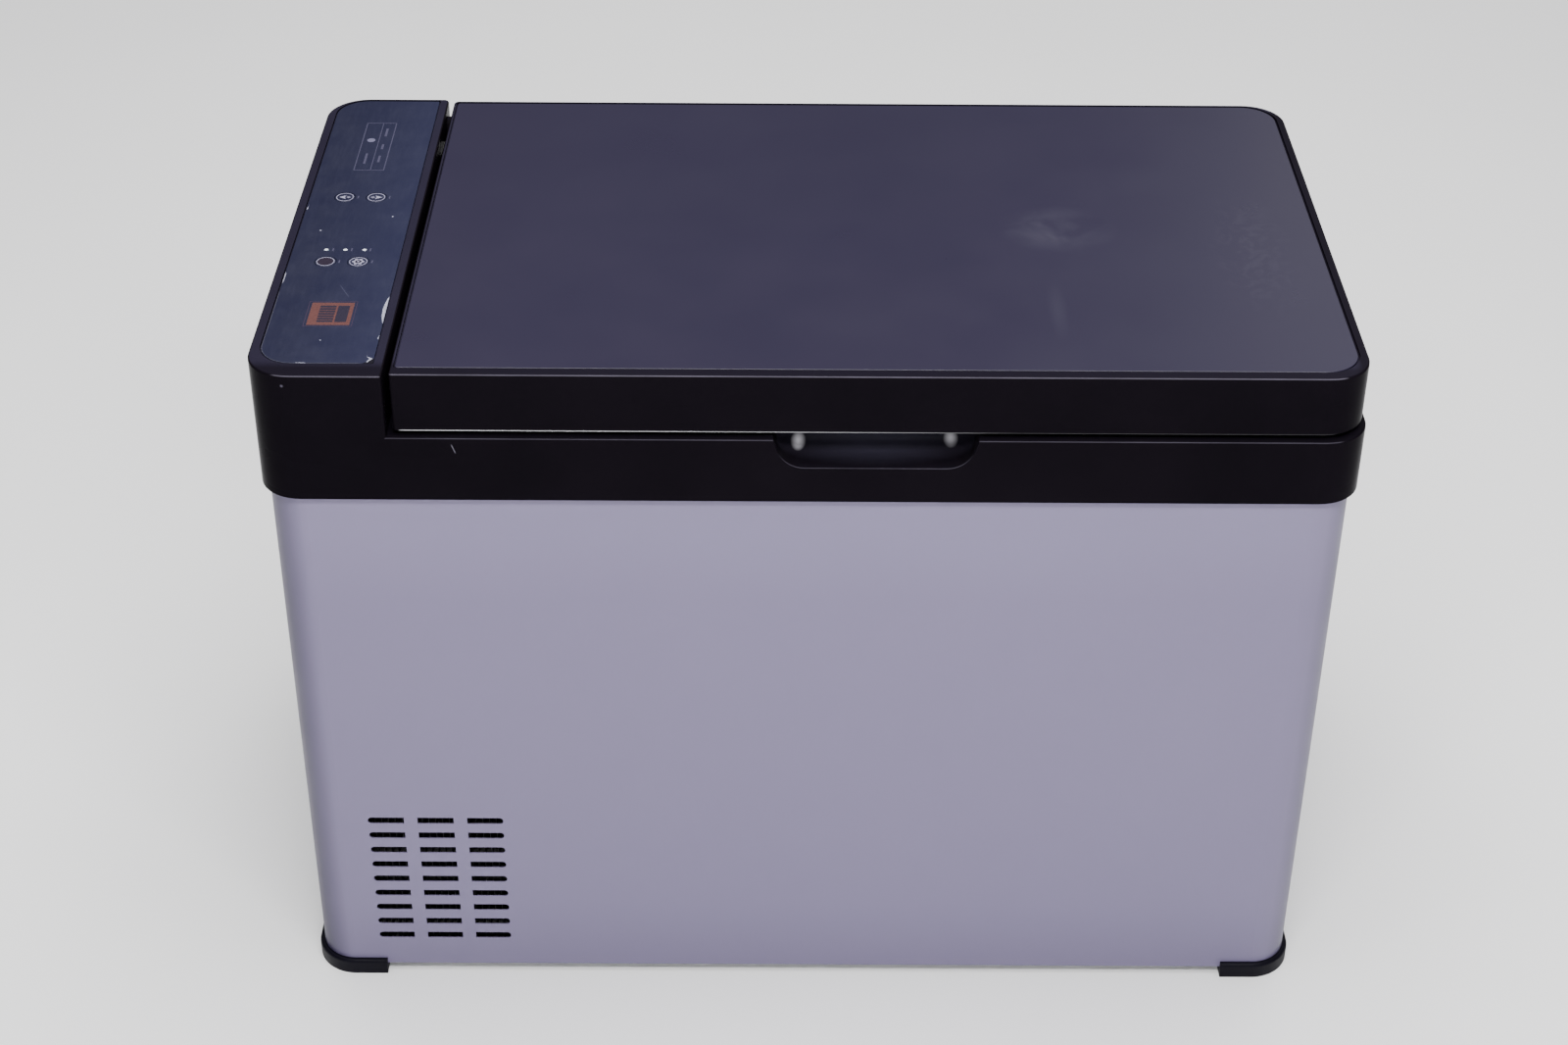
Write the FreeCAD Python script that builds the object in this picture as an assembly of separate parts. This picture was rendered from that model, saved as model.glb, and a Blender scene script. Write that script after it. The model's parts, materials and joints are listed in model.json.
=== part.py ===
"""Compressor cooler fridge: a steel box with a moulded top frame, a hinged lid and a compressor at its left.

Millimetres. X runs along the width, Y from front to rear, Z up. The origin is on the floor, at the middle of
the plan. Every piece is written to parts/ as its own STEP file.
"""

import FreeCAD, Part
import math
import os

V = FreeCAD.Vector
X_AXIS = V(1, 0, 0)
Y_AXIS = V(0, 1, 0)
Z_AXIS = V(0, 0, 1)

# ---- overall ----
overall_width = 600.0
overall_depth = 344.0
overall_height = 425.0
half_w = overall_width / 2
half_d = overall_depth / 2

# ---- feet and body shell ----
body_bottom = 6.0            # the body stands this high on its feet
foot_height = 10.0
foot_proud = 3.0             # foot beyond the body
foot_reach = 44.0            # length of each leg of the L, from the corner
foot_leg = 20.0              # width of each leg under the body
foot_edge = 2.0
shell_inset = 4.0            # body inside the frame's outline
shell_wall = 0.8
shell_radius = 22.0
base_thickness = 2.0
shell_x = half_w - shell_inset
shell_y = half_d - shell_inset
base_top = body_bottom + base_thickness

# ---- top frame and control block ----
frame_height = 77.0          # frame's lower edge below the top
block_height = 38.0          # control block above the ledge
block_width = 73.6
frame_radius = 25.0
frame_wall = 6.0
shell_tuck = 12.0            # shell up inside the frame's skirt
ledge_thickness = 3.0
block_edge = 1.2
ledge_edge = 1.0
frame_bottom = overall_height - frame_height
ledge = overall_height - block_height
ledge_under = ledge - ledge_thickness
skirt_top = frame_bottom + shell_tuck
block_right = -half_w + block_width

# ---- finger recess ----
recess_left_of_lid = 2.6      # its centre, left of the lid's centre
recess_top_width = 111.0
recess_bottom_width = 99.0   # across its sides where they would meet the floor
recess_depth = 17.4          # down from the ledge
recess_reach = 20.0          # in from the front face
recess_radius = 15.5         # lower corners of its mouth
recess_back_radius = 12.0    # sides and floor into the back
recess_wall = 4.0
recess_clearance = 0.5       # liner flange to the recess's housing
recess_edge = 0.7            # rounding of the recess's mouth

# ---- lid ----
hinge_gap = 3.6              # block to lid
lid_setback = 2.4            # lid inside the frame's outline
lid_gap = 3.0                # ledge to lid
lid_wall = 3.0
lid_top_wall = 4.0
lid_radius = 24.0
lid_edge = 1.2
lid_left = block_right + hinge_gap
lid_right = half_w - lid_setback
lid_y = half_d - lid_setback
lid_bottom = ledge + lid_gap
lid_centre = (lid_left + lid_right) / 2
recess_x = lid_centre - recess_left_of_lid
inlay_thickness = 1.2
inlay_sunk = 0.2
inlay_groove = 0.8
inlay_margin_left = 2.6
inlay_margin_right = 5.6
inlay_margin_front = 7.8
inlay_margin_rear = 2.8
inlay_radius = 20.0
inlay_edge = 0.4

# ---- storage opening and liner ----
opening_from_block = 26.4
opening_from_right = 40.0
opening_from_front = 42.0
liner_wall = 1.5
liner_radius = 20.0
liner_floor_radius = 8.0
opening_left = block_right + opening_from_block
opening_right = half_w - opening_from_right
opening_y = half_d - opening_from_front
machine_width = 188.0        # machine compartment from the frame's left side
machine_top = 200.0
machine_right = -half_w + machine_width
partition_sheet = 1.0
foam_beside_machine = 37.0
foam_over_machine = 25.0
foam_under_liner = 45.0
deep_left = machine_right + foam_beside_machine
step_floor = machine_top + foam_over_machine
deep_floor = base_top + foam_under_liner
flange_width = 12.0
flange_sheet = 1.5

# ---- lid inner panel, gasket and screws ----
pan_depth = 12.0
pan_clearance = 10.0
pan_wall = 2.0
panel_sheet = 2.0
gasket_width = 10.0
gasket_offset = 4.0
gasket_rest_gap = 0.3
lid_screw_inset = 11.0
lid_boss_radius = 4.0
screw_radius = 1.75
screw_head_radius = 3.5

# ---- lid hinge ----
hinge_from_rear = 11.6       # axis in front of the lid's rear face
hinge_from_top = 14.0
pin_radius = 3.0
running_fit = 0.05           # radial, pin in bush
bush_radius = 5.0
collar_radius = 8.0
collar_end_gap = 0.6
hinge_boss_radius = 9.0
hinge_boss_length = 13.0
pin_in_block = 16.0
bracket_from_right = 45.0
bracket_width = 12.0
bracket_radius = 7.0
bracket_side_gap = 3.0
pocket_clearance = 2.5
pocket_wall = 6.0
bracket_base_x = 30.0
bracket_base_thickness = 3.5
hinge_y = lid_y - hinge_from_rear
hinge_z = overall_height - hinge_from_top
bracket_x = half_w - bracket_from_right

# ---- control panel ----
panel_left_margin = 6.0
panel_front_margin = 14.0
panel_rear_margin = 3.0
panel_right_margin = 5.8
panel_radius = 18.5
panel_small_radius = 1.0
panel_thickness = 1.2
panel_sunk = 0.2
panel_groove = 0.8
panel_seat = 4.0             # rim of the recess under the panel
panel_left = -half_w + panel_left_margin
panel_right = block_right - panel_right_margin
panel_front = -half_d + panel_front_margin
panel_rear = half_d - panel_rear_margin
panel_top = overall_height - panel_sunk
panel_under = panel_top - panel_thickness
bay_wall = 4.0
bay_floor = ledge + 3.0
bay_top = overall_height - 4.0
opening_edge = 1.2
backing_thickness = 2.6
backing_under = panel_under - backing_thickness
key_radius = 6.0
key_gap = 0.3
key_travel = 0.5
film_edge = 0.15             # rounding of the panel's and keys' top edges
key_stem_radius = 2.5
key_flange_radius = 3.6
key_left = panel_left + 20.5
key_right = panel_left + 39.0
key_rear_y = panel_rear - 133.5
key_front_y = panel_rear - 213.5
board_thickness = 1.6
board_top = bay_floor + 16.6
switch_side = 6.0
switch_body = 4.3
plunger_radius = 1.75
plunger_height = 1.3
key_to_switch = key_travel + 0.4
window_width = 18.5
window_length = 66.0
window_x = panel_left + 29.75
window_y = panel_rear - 65.0
led_radius = 1.2
led_row_y = panel_rear - 199.3
led_pitch = 10.85
led_middle = panel_left + 29.85
board_post_radius = 4.0
board_margin = 6.0

# ---- vents ----
vent_columns = 3
vent_rows = 9
vent_slot = 21.3
vent_rib = 8.0
vent_height = 4.6
vent_pitch = 11.25
vent_from_left = 41.7
vent_first_row = 29.0
vent_span = vent_columns * vent_slot + (vent_columns - 1) * vent_rib
vent_left = -half_w + vent_from_left

# ---- condenser and fan ----
condenser_from_front = 14.0
fin_depth = 22.0
fin_sheet = 0.4
fin_count = 31
fin_pitch = 4.0
fin_bottom = 12.0
fin_height = 120.0
pass_count = 6
pass_pitch = 20.0
pass_first = 20.0
condenser_tube_radius = 3.5
fan_size = 120.0
fan_depth = 25.0
fan_bore_radius = 57.5
fan_gap = 4.0                # fins to fan
fan_wall_clearance = 0.75    # blade tip to bore
fan_hub_radius = 19.0
fan_hub_wall = 1.6
fan_shaft_radius = 1.5
fan_post_radius = 4.5
fan_motor_plate = 3.0
fan_blades = 7
blade_chord = 30.0
blade_sheet = 1.6
blade_pitch_angle = 38.0
condenser_y = -half_d + condenser_from_front + fin_depth / 2
fan_front = condenser_y + fin_depth / 2 + fan_gap
fan_rear = fan_front + fan_depth
fan_x = -half_w + 100.0
fan_z = base_top + fan_size / 2
fin_left = fan_x - fin_pitch * (fin_count - 1) / 2

# ---- compressor ----
compressor_length = 148.0
compressor_width = 118.0
compressor_radius = 50.0
compressor_wall = 3.0
compressor_height = 122.0
compressor_seam = 65.0       # seam above the compressor's own base
compressor_dome = 22.0
seam_flange = 3.0
pump_lift = 16.0             # springs under the pump
compressor_x = -half_w + 94.0
compressor_y = fan_rear + 121.0
mount_plate_thickness = 2.5
mount_plate_bottom = base_top + 9.0
mount_plate_top = mount_plate_bottom + mount_plate_thickness
mount_plate_x = 130.0
mount_plate_y = 165.0
mount_from_edge = 11.0
grommet_radius = 9.0
grommet_neck = 6.0
grommet_lip = 3.0
bolt_radius = 2.5
bolt_head = 3.5
driver_x = 22.0
driver_y = 100.0
driver_z = 80.0
driver_base = 35.0
cover_x = 8.0
cover_y = 38.0
fin_relief = 6.0             # depth of the driver's cooling grooves

# ---- refrigerant circuit ----
liquid_radius = 1.5
suction_radius = 4.0
discharge_radius = 3.0
evaporator_radius = 4.0
tube_to_liner = 0.3
evaporator_passes = 6
evaporator_first = 80.0
evaporator_corner = liner_radius + liner_wall + tube_to_liner + evaporator_radius
evaporator_left = deep_left + 15.0
drier_radius = 8.0
drier_length = 60.0
tube_line_x = machine_right - 12.0
compressor_top = mount_plate_top + compressor_height

# ---- inlets and service cover ----
inlet_plate_y = 90.0
inlet_plate_z = 40.0
inlet_plate_thickness = 2.0
inlet_edge = 0.8
inlet_centre_y = half_d - 57.0
inlet_centre_z = 54.0
inlet_length = 26.0
dc_radius = 11.0
ac_length = 26.0
ac_height = 18.0
inlet_pin_radius = 1.2
fuse_radius = 7.0
inlet_pitch = 26.0
grille_width = 140.0
grille_height = 130.0
grille_lip = 5.0
grille_thickness = 2.5
grille_body = 2.0
grille_radius = 6.0
grille_edge = 1.0
grille_x = -half_w + 95.0
grille_z = 90.0

# ---- basket ----
basket_clearance = 9.0
basket_lid_gap = 8.0
basket_wire = 1.5
basket_rim = 2.2
basket_radius = 16.0
basket_bend = 12.0
basket_hoops = 8
basket_runs = 5


# ------------------------------------------------------------------ helpers
def box(x0, x1, y0, y1, z0, z1):
    """A block between two corners."""
    return Part.makeBox(x1 - x0, y1 - y0, z1 - z0, V(x0, y0, z0))


def cylinder(start, direction, radius, length):
    """A cylinder from a point along a direction."""
    return Part.makeCylinder(radius, length, V(*start), direction)


def outline(x0, x1, y0, y1, z, radii):
    """A rectangle with round corners; radii run front left, front right, rear right, rear left."""
    if not isinstance(radii, tuple):
        radii = (radii,) * 4
    corners = ((x0, y0, 1, 1), (x1, y0, -1, 1), (x1, y1, -1, -1), (x0, y1, 1, -1))
    arcs = []
    for index, ((x, y, sx, sy), r) in enumerate(zip(corners, radii)):
        side = V(x, y + sy * r, z)
        along = V(x + sx * r, y, z)
        middle = V(x + sx * r * (1 - math.sqrt(0.5)), y + sy * r * (1 - math.sqrt(0.5)), z)
        ends = (side, along) if index % 2 == 0 else (along, side)
        arcs.append((ends[0], middle, ends[1]))
    edges = []
    for index, (start, middle, end) in enumerate(arcs):
        edges.append(Part.Arc(start, middle, end).toShape())
        following = arcs[(index + 1) % 4][0]
        if (following - end).Length > 1e-6:
            edges.append(Part.LineSegment(end, following).toShape())
    return Part.Wire(edges)


def prism(x0, x1, y0, y1, z0, z1, radii):
    """An upright block with round vertical corners."""
    return Part.Face(outline(x0, x1, y0, y1, z0, radii)).extrude(V(0, 0, z1 - z0))


def centred(x, y, z0, z1, half_x, half_y, radii):
    """The same block, by its half sizes."""
    return prism(x - half_x, x + half_x, y - half_y, y + half_y, z0, z1, radii)


def level_edges(shape, z):
    """The edges that lie flat at a height."""
    return [e for e in shape.Edges if abs(e.BoundBox.ZMin - z) < 1e-6 and abs(e.BoundBox.ZMax - z) < 1e-6]


def ring(outer, inner):
    """One shape with another taken out of it."""
    return outer.cut(inner)


def joined(shapes):
    """Shapes that overlap or touch, as one solid."""
    return shapes[0].multiFuse(shapes[1:]).removeSplitter()


def group(shapes):
    """Separate solids kept in one node."""
    return Part.makeCompound(shapes)


def obround(x0, x1, z, height, y0, y1):
    """A slot with round ends, running along X and cut along Y."""
    r = height / 2
    bar = box(x0 + r, x1 - r, y0, y1, z - r, z + r)
    ends = [cylinder((x, y0, z), Y_AXIS, r, y1 - y0) for x in (x0 + r, x1 - r)]
    return bar.multiFuse(ends)


def tube(points, bends, radius):
    """A round tube along straight runs joined by tangent arcs; bends is one radius or one for each corner."""
    spots = [V(*p) for p in points]
    if not isinstance(bends, (list, tuple)):
        bends = [bends] * (len(spots) - 2)
    edges = []
    last = spots[0]
    for before, corner, after, bend in zip(spots, spots[1:], spots[2:], bends):
        inward = (corner - before).normalize()
        onward = (after - corner).normalize()
        half_turn = inward.getAngle(onward) / 2
        cut = bend * math.tan(half_turn)
        start = corner - inward * cut
        end = corner + onward * cut
        to_centre = (onward - inward).normalize()
        centre = corner + to_centre * (bend / math.cos(half_turn))
        middle = centre - to_centre * bend
        if (start - last).Length > 1e-6:
            edges.append(Part.LineSegment(last, start).toShape())
        edges.append(Part.Arc(start, middle, end).toShape())
        last = end
    if (spots[-1] - last).Length > 1e-6:
        edges.append(Part.LineSegment(last, spots[-1]).toShape())
    path = Part.Wire(edges)
    section = Part.Wire(Part.makeCircle(radius, spots[0], spots[1] - spots[0]))
    return path.makePipeShell([section], True, False)


def shell_inside(z0, z1):
    """The space inside the body shell, between two heights."""
    return centred(0, 0, z0, z1, shell_x - shell_wall, shell_y - shell_wall, shell_radius - shell_wall)


def vent_slots(x0, first_z, y0, y1):
    """Rows of slots, each one obround broken by upright ribs."""
    reach = (vent_rows - 1) * vent_pitch + vent_height
    rows = [obround(x0, x0 + vent_span, first_z + row * vent_pitch, vent_height, y0, y1)
            for row in range(vent_rows)]
    ribs = []
    for column in range(1, vent_columns):
        rib_x = x0 + column * vent_slot + (column - 1) * vent_rib
        ribs.append(box(rib_x, rib_x + vent_rib, y0 - 1, y1 + 1, first_z - vent_height,
                        first_z + reach))
    return group([row.cut(ribs) for row in rows])


def screw(x, y, z, up, head_radius, head_height, radius, length):
    """A vertical screw; its head starts at z and its shank runs on the same way."""
    way = Z_AXIS if up else -Z_AXIS
    head = cylinder((x, y, z), way, head_radius, head_height)
    shank = cylinder((x, y, z), way, radius, length)
    return head.fuse(shank).removeSplitter()


# ------------------------------------------------------------------ body, base and feet
def rear_opening():
    return box(grille_x - grille_width / 2 + grille_lip, grille_x + grille_width / 2 - grille_lip,
               shell_y - 3 * shell_wall, shell_y + shell_wall,
               grille_z - grille_height / 2 + grille_lip, grille_z + grille_height / 2 - grille_lip)


def dc_spot():
    return inlet_centre_y + inlet_pitch, inlet_centre_z


def fuse_spot():
    return inlet_centre_y + 1.0, inlet_centre_z


def ac_spot():
    return inlet_centre_y - inlet_pitch, inlet_centre_z


def dc_body():
    y, z = dc_spot()
    return cylinder((-shell_x - inlet_plate_thickness, y, z), X_AXIS, dc_radius, inlet_length)


def fuse_body():
    y, z = fuse_spot()
    return cylinder((-shell_x - inlet_plate_thickness, y, z), X_AXIS, fuse_radius, inlet_length)


def ac_body():
    y, z = ac_spot()
    upright = prism(y - ac_length / 2, y + ac_length / 2, z - ac_height / 2, z + ac_height / 2, 0,
                    inlet_length, 3.0)
    upright.rotate(V(0, 0, 0), V(1, 1, 1), 120)
    upright.translate(V(-shell_x - inlet_plate_thickness, 0, 0))
    return upright


def make_outer_shell():
    """A sheet wrap and, welded into it, the flat left end that carries the inlets."""
    wrap = ring(centred(0, 0, body_bottom, skirt_top, shell_x, shell_y, shell_radius),
                shell_inside(body_bottom - 1, skirt_top + 1))
    vents = vent_slots(vent_left, vent_first_row, -shell_y - 1, -shell_y + 3 * shell_wall)
    wrap = wrap.cut([vents, rear_opening(), dc_body(), fuse_body(), ac_body()] + grille_screw_list())
    reach = shell_y - shell_radius
    end = box(-half_w, -shell_x + 2 * shell_wall, -reach, reach, 0, overall_height)
    return group(wrap.cut(end).Solids + wrap.common(end).Solids)


def make_base_plate():
    plate = shell_inside(body_bottom, base_top)
    return plate.cut(foot_screw_list() + bolt_list())


def foot_screw_spots():
    far_x = shell_x - foot_leg / 2
    far_y = shell_y - foot_leg / 2
    near_x = half_w - foot_reach + foot_leg / 2
    near_y = half_d - foot_reach + foot_leg / 2
    for sx in (-1, 1):
        for sy in (-1, 1):
            yield sx * near_x, sy * far_y
            yield sx * far_x, sy * near_y


def foot_screw_list():
    return [screw(x, y, 1.5, True, 4.0, 2.5, 2.0, base_top + 4.0) for x, y in foot_screw_spots()]


def make_foot(sx, sy):
    pad = centred(0, 0, 0, foot_height, shell_x + foot_proud, shell_y + foot_proud, shell_radius + foot_proud)
    pad = pad.makeFillet(foot_edge, level_edges(pad, foot_height))
    corner_x = sorted((sx * (half_w - foot_reach - 1), sx * (half_w + 1)))
    corner_y = sorted((sy * (half_d - foot_reach - 1), sy * (half_d + 1)))
    pad = pad.common(box(*corner_x, *corner_y, -1, foot_height + 1))
    inner_x = sorted((0, sx * (shell_x - foot_leg)))
    inner_y = sorted((0, sy * (shell_y - foot_leg)))
    pad = pad.cut(box(*inner_x, *inner_y, -1, foot_height + 1))
    pad = pad.cut(centred(0, 0, body_bottom, foot_height + 1, shell_x, shell_y, shell_radius))
    holes = [cylinder((x, y, -1), Z_AXIS, 4.0, 4.0) for x, y in foot_screw_spots()]
    return pad.cut(holes + foot_screw_list())


# ------------------------------------------------------------------ top frame
def finger_scoop():
    """The recess: straight in from its mouth, and round where it meets its back."""
    top = ledge + 2.0
    back = -half_d + recess_reach
    face = Part.Face(recess_outline(-half_d - 1, top, ledge - recess_depth))
    hollow = face.extrude(V(0, recess_reach + 1, 0))
    edges = [e for e in hollow.Edges
             if e.BoundBox.YMin > back - 1e-3 and e.BoundBox.ZMin < top - 1e-3]
    return hollow.makeFillet(recess_back_radius, edges)


def recess_outline(y, top, bottom):
    """The mouth of the recess: a trapezium with two round lower corners."""
    left = V(recess_x - recess_top_width / 2, y, top)
    right = V(recess_x + recess_top_width / 2, y, top)
    low_right = V(recess_x + recess_bottom_width / 2, y, bottom)
    low_left = V(recess_x - recess_bottom_width / 2, y, bottom)
    side = (low_right - right).normalize()
    floor = (low_left - low_right).normalize()
    half_turn = side.getAngle(floor) / 2
    cut = recess_radius * math.tan(half_turn)
    a = low_right - side * cut
    b = low_right + floor * cut
    to_centre = (floor - side).normalize()
    m = low_right + to_centre * (recess_radius / math.cos(half_turn) - recess_radius)
    mirrored = [V(2 * recess_x - q.x, q.y, q.z) for q in (b, m, a)]
    return Part.Wire([
        Part.LineSegment(left, right).toShape(), Part.LineSegment(right, a).toShape(),
        Part.Arc(a, m, b).toShape(), Part.LineSegment(b, mirrored[0]).toShape(),
        Part.Arc(*mirrored).toShape(), Part.LineSegment(mirrored[2], left).toShape()])


def recess_mouth(body):
    """The recess's edges in the frame's front face."""
    found = []
    for edge in body.Edges:
        b = edge.BoundBox
        on_face = abs(b.YMin + half_d) < 0.01 and abs(b.YMax + half_d) < 0.01
        in_reach = b.ZMin > ledge - recess_depth - 0.5 and b.ZMax < ledge + 0.5
        if on_face and in_reach and b.ZMin < ledge - 2 * ledge_edge:
            found.append(edge)
    return found


def frame_cavity():
    """The foam space inside the frame, above the shell."""
    space = centred(0, 0, skirt_top, ledge_under, half_w - frame_wall, half_d - frame_wall,
                    frame_radius - frame_wall)
    return space.cut(recess_housing(0))


def recess_housing(grow):
    """The block of moulding that the finger recess is sunk in."""
    half = recess_top_width / 2 + recess_wall + grow
    return box(recess_x - half, recess_x + half, -half_d, -half_d + recess_reach + recess_wall + grow,
               ledge - recess_depth - recess_wall - grow, ledge)


def panel_outline(offset, z0, z1):
    """The control panel's plan, grown or shrunk by an offset."""
    return prism(panel_left - offset, panel_right + offset, panel_front - offset, panel_rear + offset, z0, z1,
                 (panel_radius + offset, max(panel_small_radius + offset, 0.5),
                  max(panel_small_radius + offset, 0.5), panel_radius + offset))


def board_post_spots():
    for x in (key_left - 10.0, key_right + 8.0):
        for y in (panel_front + 30.0, panel_rear - 38.0):
            yield x, y


def make_top_frame():
    block = prism(-half_w, block_right, -half_d, half_d, frame_bottom, overall_height,
                  (frame_radius, 1.5, 3.0, frame_radius))
    block = block.makeFillet(block_edge, level_edges(block, overall_height))
    rim = prism(-half_w + frame_radius, half_w, -half_d, half_d, frame_bottom, ledge,
                (2.0, frame_radius, frame_radius, 2.0))
    rim = rim.makeFillet(ledge_edge, level_edges(rim, ledge))
    body = block.fuse(rim).removeSplitter()
    skirt = centred(0, 0, frame_bottom - 1, skirt_top, shell_x, shell_y, shell_radius)
    opening = prism(opening_left, opening_right, -opening_y, opening_y, ledge_under - 1, ledge + 1, liner_radius)
    spread = opening_edge + 1
    low = outline(opening_left, opening_right, -opening_y, opening_y, ledge - opening_edge, liner_radius)
    high = outline(opening_left - spread, opening_right + spread, -opening_y - spread, opening_y + spread,
                   ledge + 1, liner_radius + spread)
    flare = Part.makeLoft([low, high], True, True)
    opening = opening.fuse(flare)
    bay = prism(-half_w + bay_wall, block_right - bay_wall, -half_d + bay_wall, half_d - bay_wall, bay_floor,
                bay_top, (frame_radius - bay_wall, 1.0, 1.0, frame_radius - bay_wall))
    boss = cylinder((block_right - bay_wall - pin_in_block + 6, hinge_y, hinge_z), X_AXIS, collar_radius,
                    pin_in_block)
    posts = [cylinder((x, y, bay_floor - 1), Z_AXIS, board_post_radius, board_top - board_thickness
                      - bay_floor + 1) for x, y in board_post_spots()]
    bay = bay.cut([boss] + posts)
    panel_recess = panel_outline(panel_groove, panel_under, overall_height + 1)
    panel_well = panel_outline(-panel_seat, bay_top - 1, overall_height + 1)
    body = body.cut([skirt, frame_cavity(), opening, bay, panel_recess, panel_well, finger_scoop()])
    collar = cylinder((block_right - 1, hinge_y, hinge_z), X_AXIS, collar_radius,
                      hinge_gap - collar_end_gap + 1)
    body = body.fuse(collar).removeSplitter()
    body = body.makeFillet(recess_edge, recess_mouth(body))
    return body.cut([make_hinge_pin_left(), bracket_shape(), harness_hole()] + bracket_screw_list()
                    + board_screw_list())


# ------------------------------------------------------------------ liner, foam, partition
def liner_solid(grow):
    """The storage space, grown by a wall thickness: a deep part and a step over the machine compartment."""
    deep = prism(deep_left - grow, opening_right + grow, -opening_y - grow, opening_y + grow, deep_floor - grow,
                 ledge_under, liner_radius + grow)
    deep = deep.makeFillet(liner_floor_radius + grow, level_edges(deep, deep_floor - grow))
    step = prism(opening_left - grow, deep_left + 2 * liner_radius, -opening_y - grow, opening_y + grow,
                 step_floor - grow, ledge_under, (liner_radius + grow, 1.0, 1.0, liner_radius + grow))
    return deep.fuse(step).removeSplitter()


def liner_flange():
    plate = prism(opening_left - flange_width, opening_right + flange_width, -opening_y - flange_width,
                  opening_y + flange_width, ledge_under - flange_sheet, ledge_under, liner_radius + flange_width)
    return plate.cut(prism(opening_left, opening_right, -opening_y, opening_y, ledge_under - 9, ledge_under + 1,
                           liner_radius))


def make_inner_liner():
    body = liner_solid(liner_wall).fuse(liner_flange()).removeSplitter()
    return body.cut([liner_solid(0), lamp_body(), recess_housing(recess_clearance)])


def machine_space(z_top):
    return shell_inside(base_top, z_top).common(box(-half_w, machine_right, -half_d, half_d, 0, z_top + 1))


def make_partition():
    top = machine_space(machine_top).cut(box(-half_w, half_w, -half_d, half_d, 0, machine_top - partition_sheet))
    wall = shell_inside(base_top, machine_top).common(
        box(machine_right - partition_sheet, machine_right, -half_d, half_d, 0, machine_top + 1))
    body = top.fuse(wall).removeSplitter()
    return body.cut([make_suction_tube(), make_capillary(), make_harness()])


def make_foam(solids):
    low = shell_inside(base_top, skirt_top)
    body = low.fuse(frame_cavity()).removeSplitter()
    inside = prism(opening_left, opening_right, -opening_y, opening_y, base_top, ledge, liner_radius)
    body = body.cut([machine_space(machine_top), liner_solid(liner_wall), liner_flange()])
    body = body.cut(inside.common(box(-half_w, half_w, -half_d, half_d, ledge_under - 5, ledge)))
    return body.cut(solids)


# ------------------------------------------------------------------ control panel
def key_spots():
    return {"key_up": (key_left, key_rear_y), "key_down": (key_right, key_rear_y),
            "key_set": (key_left, key_front_y), "key_power": (key_right, key_front_y)}


def window_lens(z0, z1):
    return centred(window_x, window_y, z0, z1, window_width / 2, window_length / 2, 1.5)


def led_list():
    return [cylinder((led_middle + step * led_pitch, led_row_y, board_top), Z_AXIS, led_radius,
                     panel_top - board_top) for step in (-1, 0, 1)]


def make_overlay():
    body = panel_outline(0, panel_under, panel_top)
    body = body.makeFillet(film_edge, level_edges(body, panel_top))
    holes = [cylinder((x, y, panel_under - 1), Z_AXIS, key_radius + key_gap, 4) for x, y in key_spots().values()]
    return body.cut(holes + [window_lens(panel_under - 1, panel_top + 1)] + led_list())


def make_backing():
    body = panel_outline(-panel_seat - key_gap, backing_under, panel_under)
    cuts = [window_lens(backing_under - 1, panel_under + 1)] + led_list()
    for x, y in key_spots().values():
        cuts.append(cylinder((x, y, panel_under - key_travel - key_gap), Z_AXIS, key_radius + key_gap, 3))
        cuts.append(cylinder((x, y, backing_under - 1), Z_AXIS, key_stem_radius + key_gap, 9))
    return body.cut(cuts)


def make_key(x, y):
    cap = cylinder((x, y, panel_under), Z_AXIS, key_radius, panel_top - panel_under)
    cap = cap.makeFillet(film_edge, level_edges(cap, panel_top))
    foot = board_top + switch_body + plunger_height + key_to_switch
    stem = cylinder((x, y, foot), Z_AXIS, key_stem_radius, panel_under - foot)
    flange = cylinder((x, y, backing_under - key_gap - 1.0), Z_AXIS, key_flange_radius, 1.0)
    return joined([cap, stem, flange])


def make_switches():
    solids = []
    for x, y in key_spots().values():
        body = centred(x, y, board_top, board_top + switch_body, switch_side / 2, switch_side / 2, 0.5)
        plunger = cylinder((x, y, board_top + switch_body), Z_AXIS, plunger_radius, plunger_height)
        solids.append(body.fuse(plunger).removeSplitter())
    return solids


def board_screw_list():
    return [screw(x, y, board_top + 2.0, False, 3.0, 2.0, 1.5, 10.0) for x, y in board_post_spots()]


def make_board():
    body = prism(-half_w + bay_wall + board_margin, block_right - bay_wall - board_margin + 2,
                 panel_front + 18.0, panel_rear - 22.0, board_top - board_thickness, board_top, 2.0)
    return body.cut(board_screw_list())


def make_display():
    return centred(window_x, window_y, board_top, panel_under, window_width / 2 - 0.5, window_length / 2 - 0.5,
                   1.0)


# ------------------------------------------------------------------ lid hinge
def make_hinge_pin_left():
    return cylinder((block_right - pin_in_block, hinge_y, hinge_z), X_AXIS, pin_radius,
                    pin_in_block + hinge_gap + hinge_boss_length)


def lid_bush_hull():
    return cylinder((lid_left, hinge_y, hinge_z), X_AXIS, bush_radius, lid_wall + hinge_boss_length)


def make_lid_bush():
    return lid_bush_hull().cut(cylinder((lid_left - 1, hinge_y, hinge_z), X_AXIS, pin_radius + running_fit,
                                        lid_wall + hinge_boss_length - 0.5))


def bracket_shape():
    """Upright cheek through the ledge, on a base plate under it."""
    x0 = bracket_x - bracket_width / 2
    x1 = bracket_x + bracket_width / 2
    cheek = box(x0, x1, hinge_y - bracket_radius, hinge_y + bracket_radius, ledge_under - 1, hinge_z)
    knuckle = cylinder((x0, hinge_y, hinge_z), X_AXIS, bracket_radius, bracket_width)
    base = box(bracket_x - bracket_base_x / 2, bracket_x + bracket_base_x / 2, hinge_y - 8, hinge_y + 8,
               ledge_under - bracket_base_thickness, ledge_under)
    return joined([cheek, knuckle, base])


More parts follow.
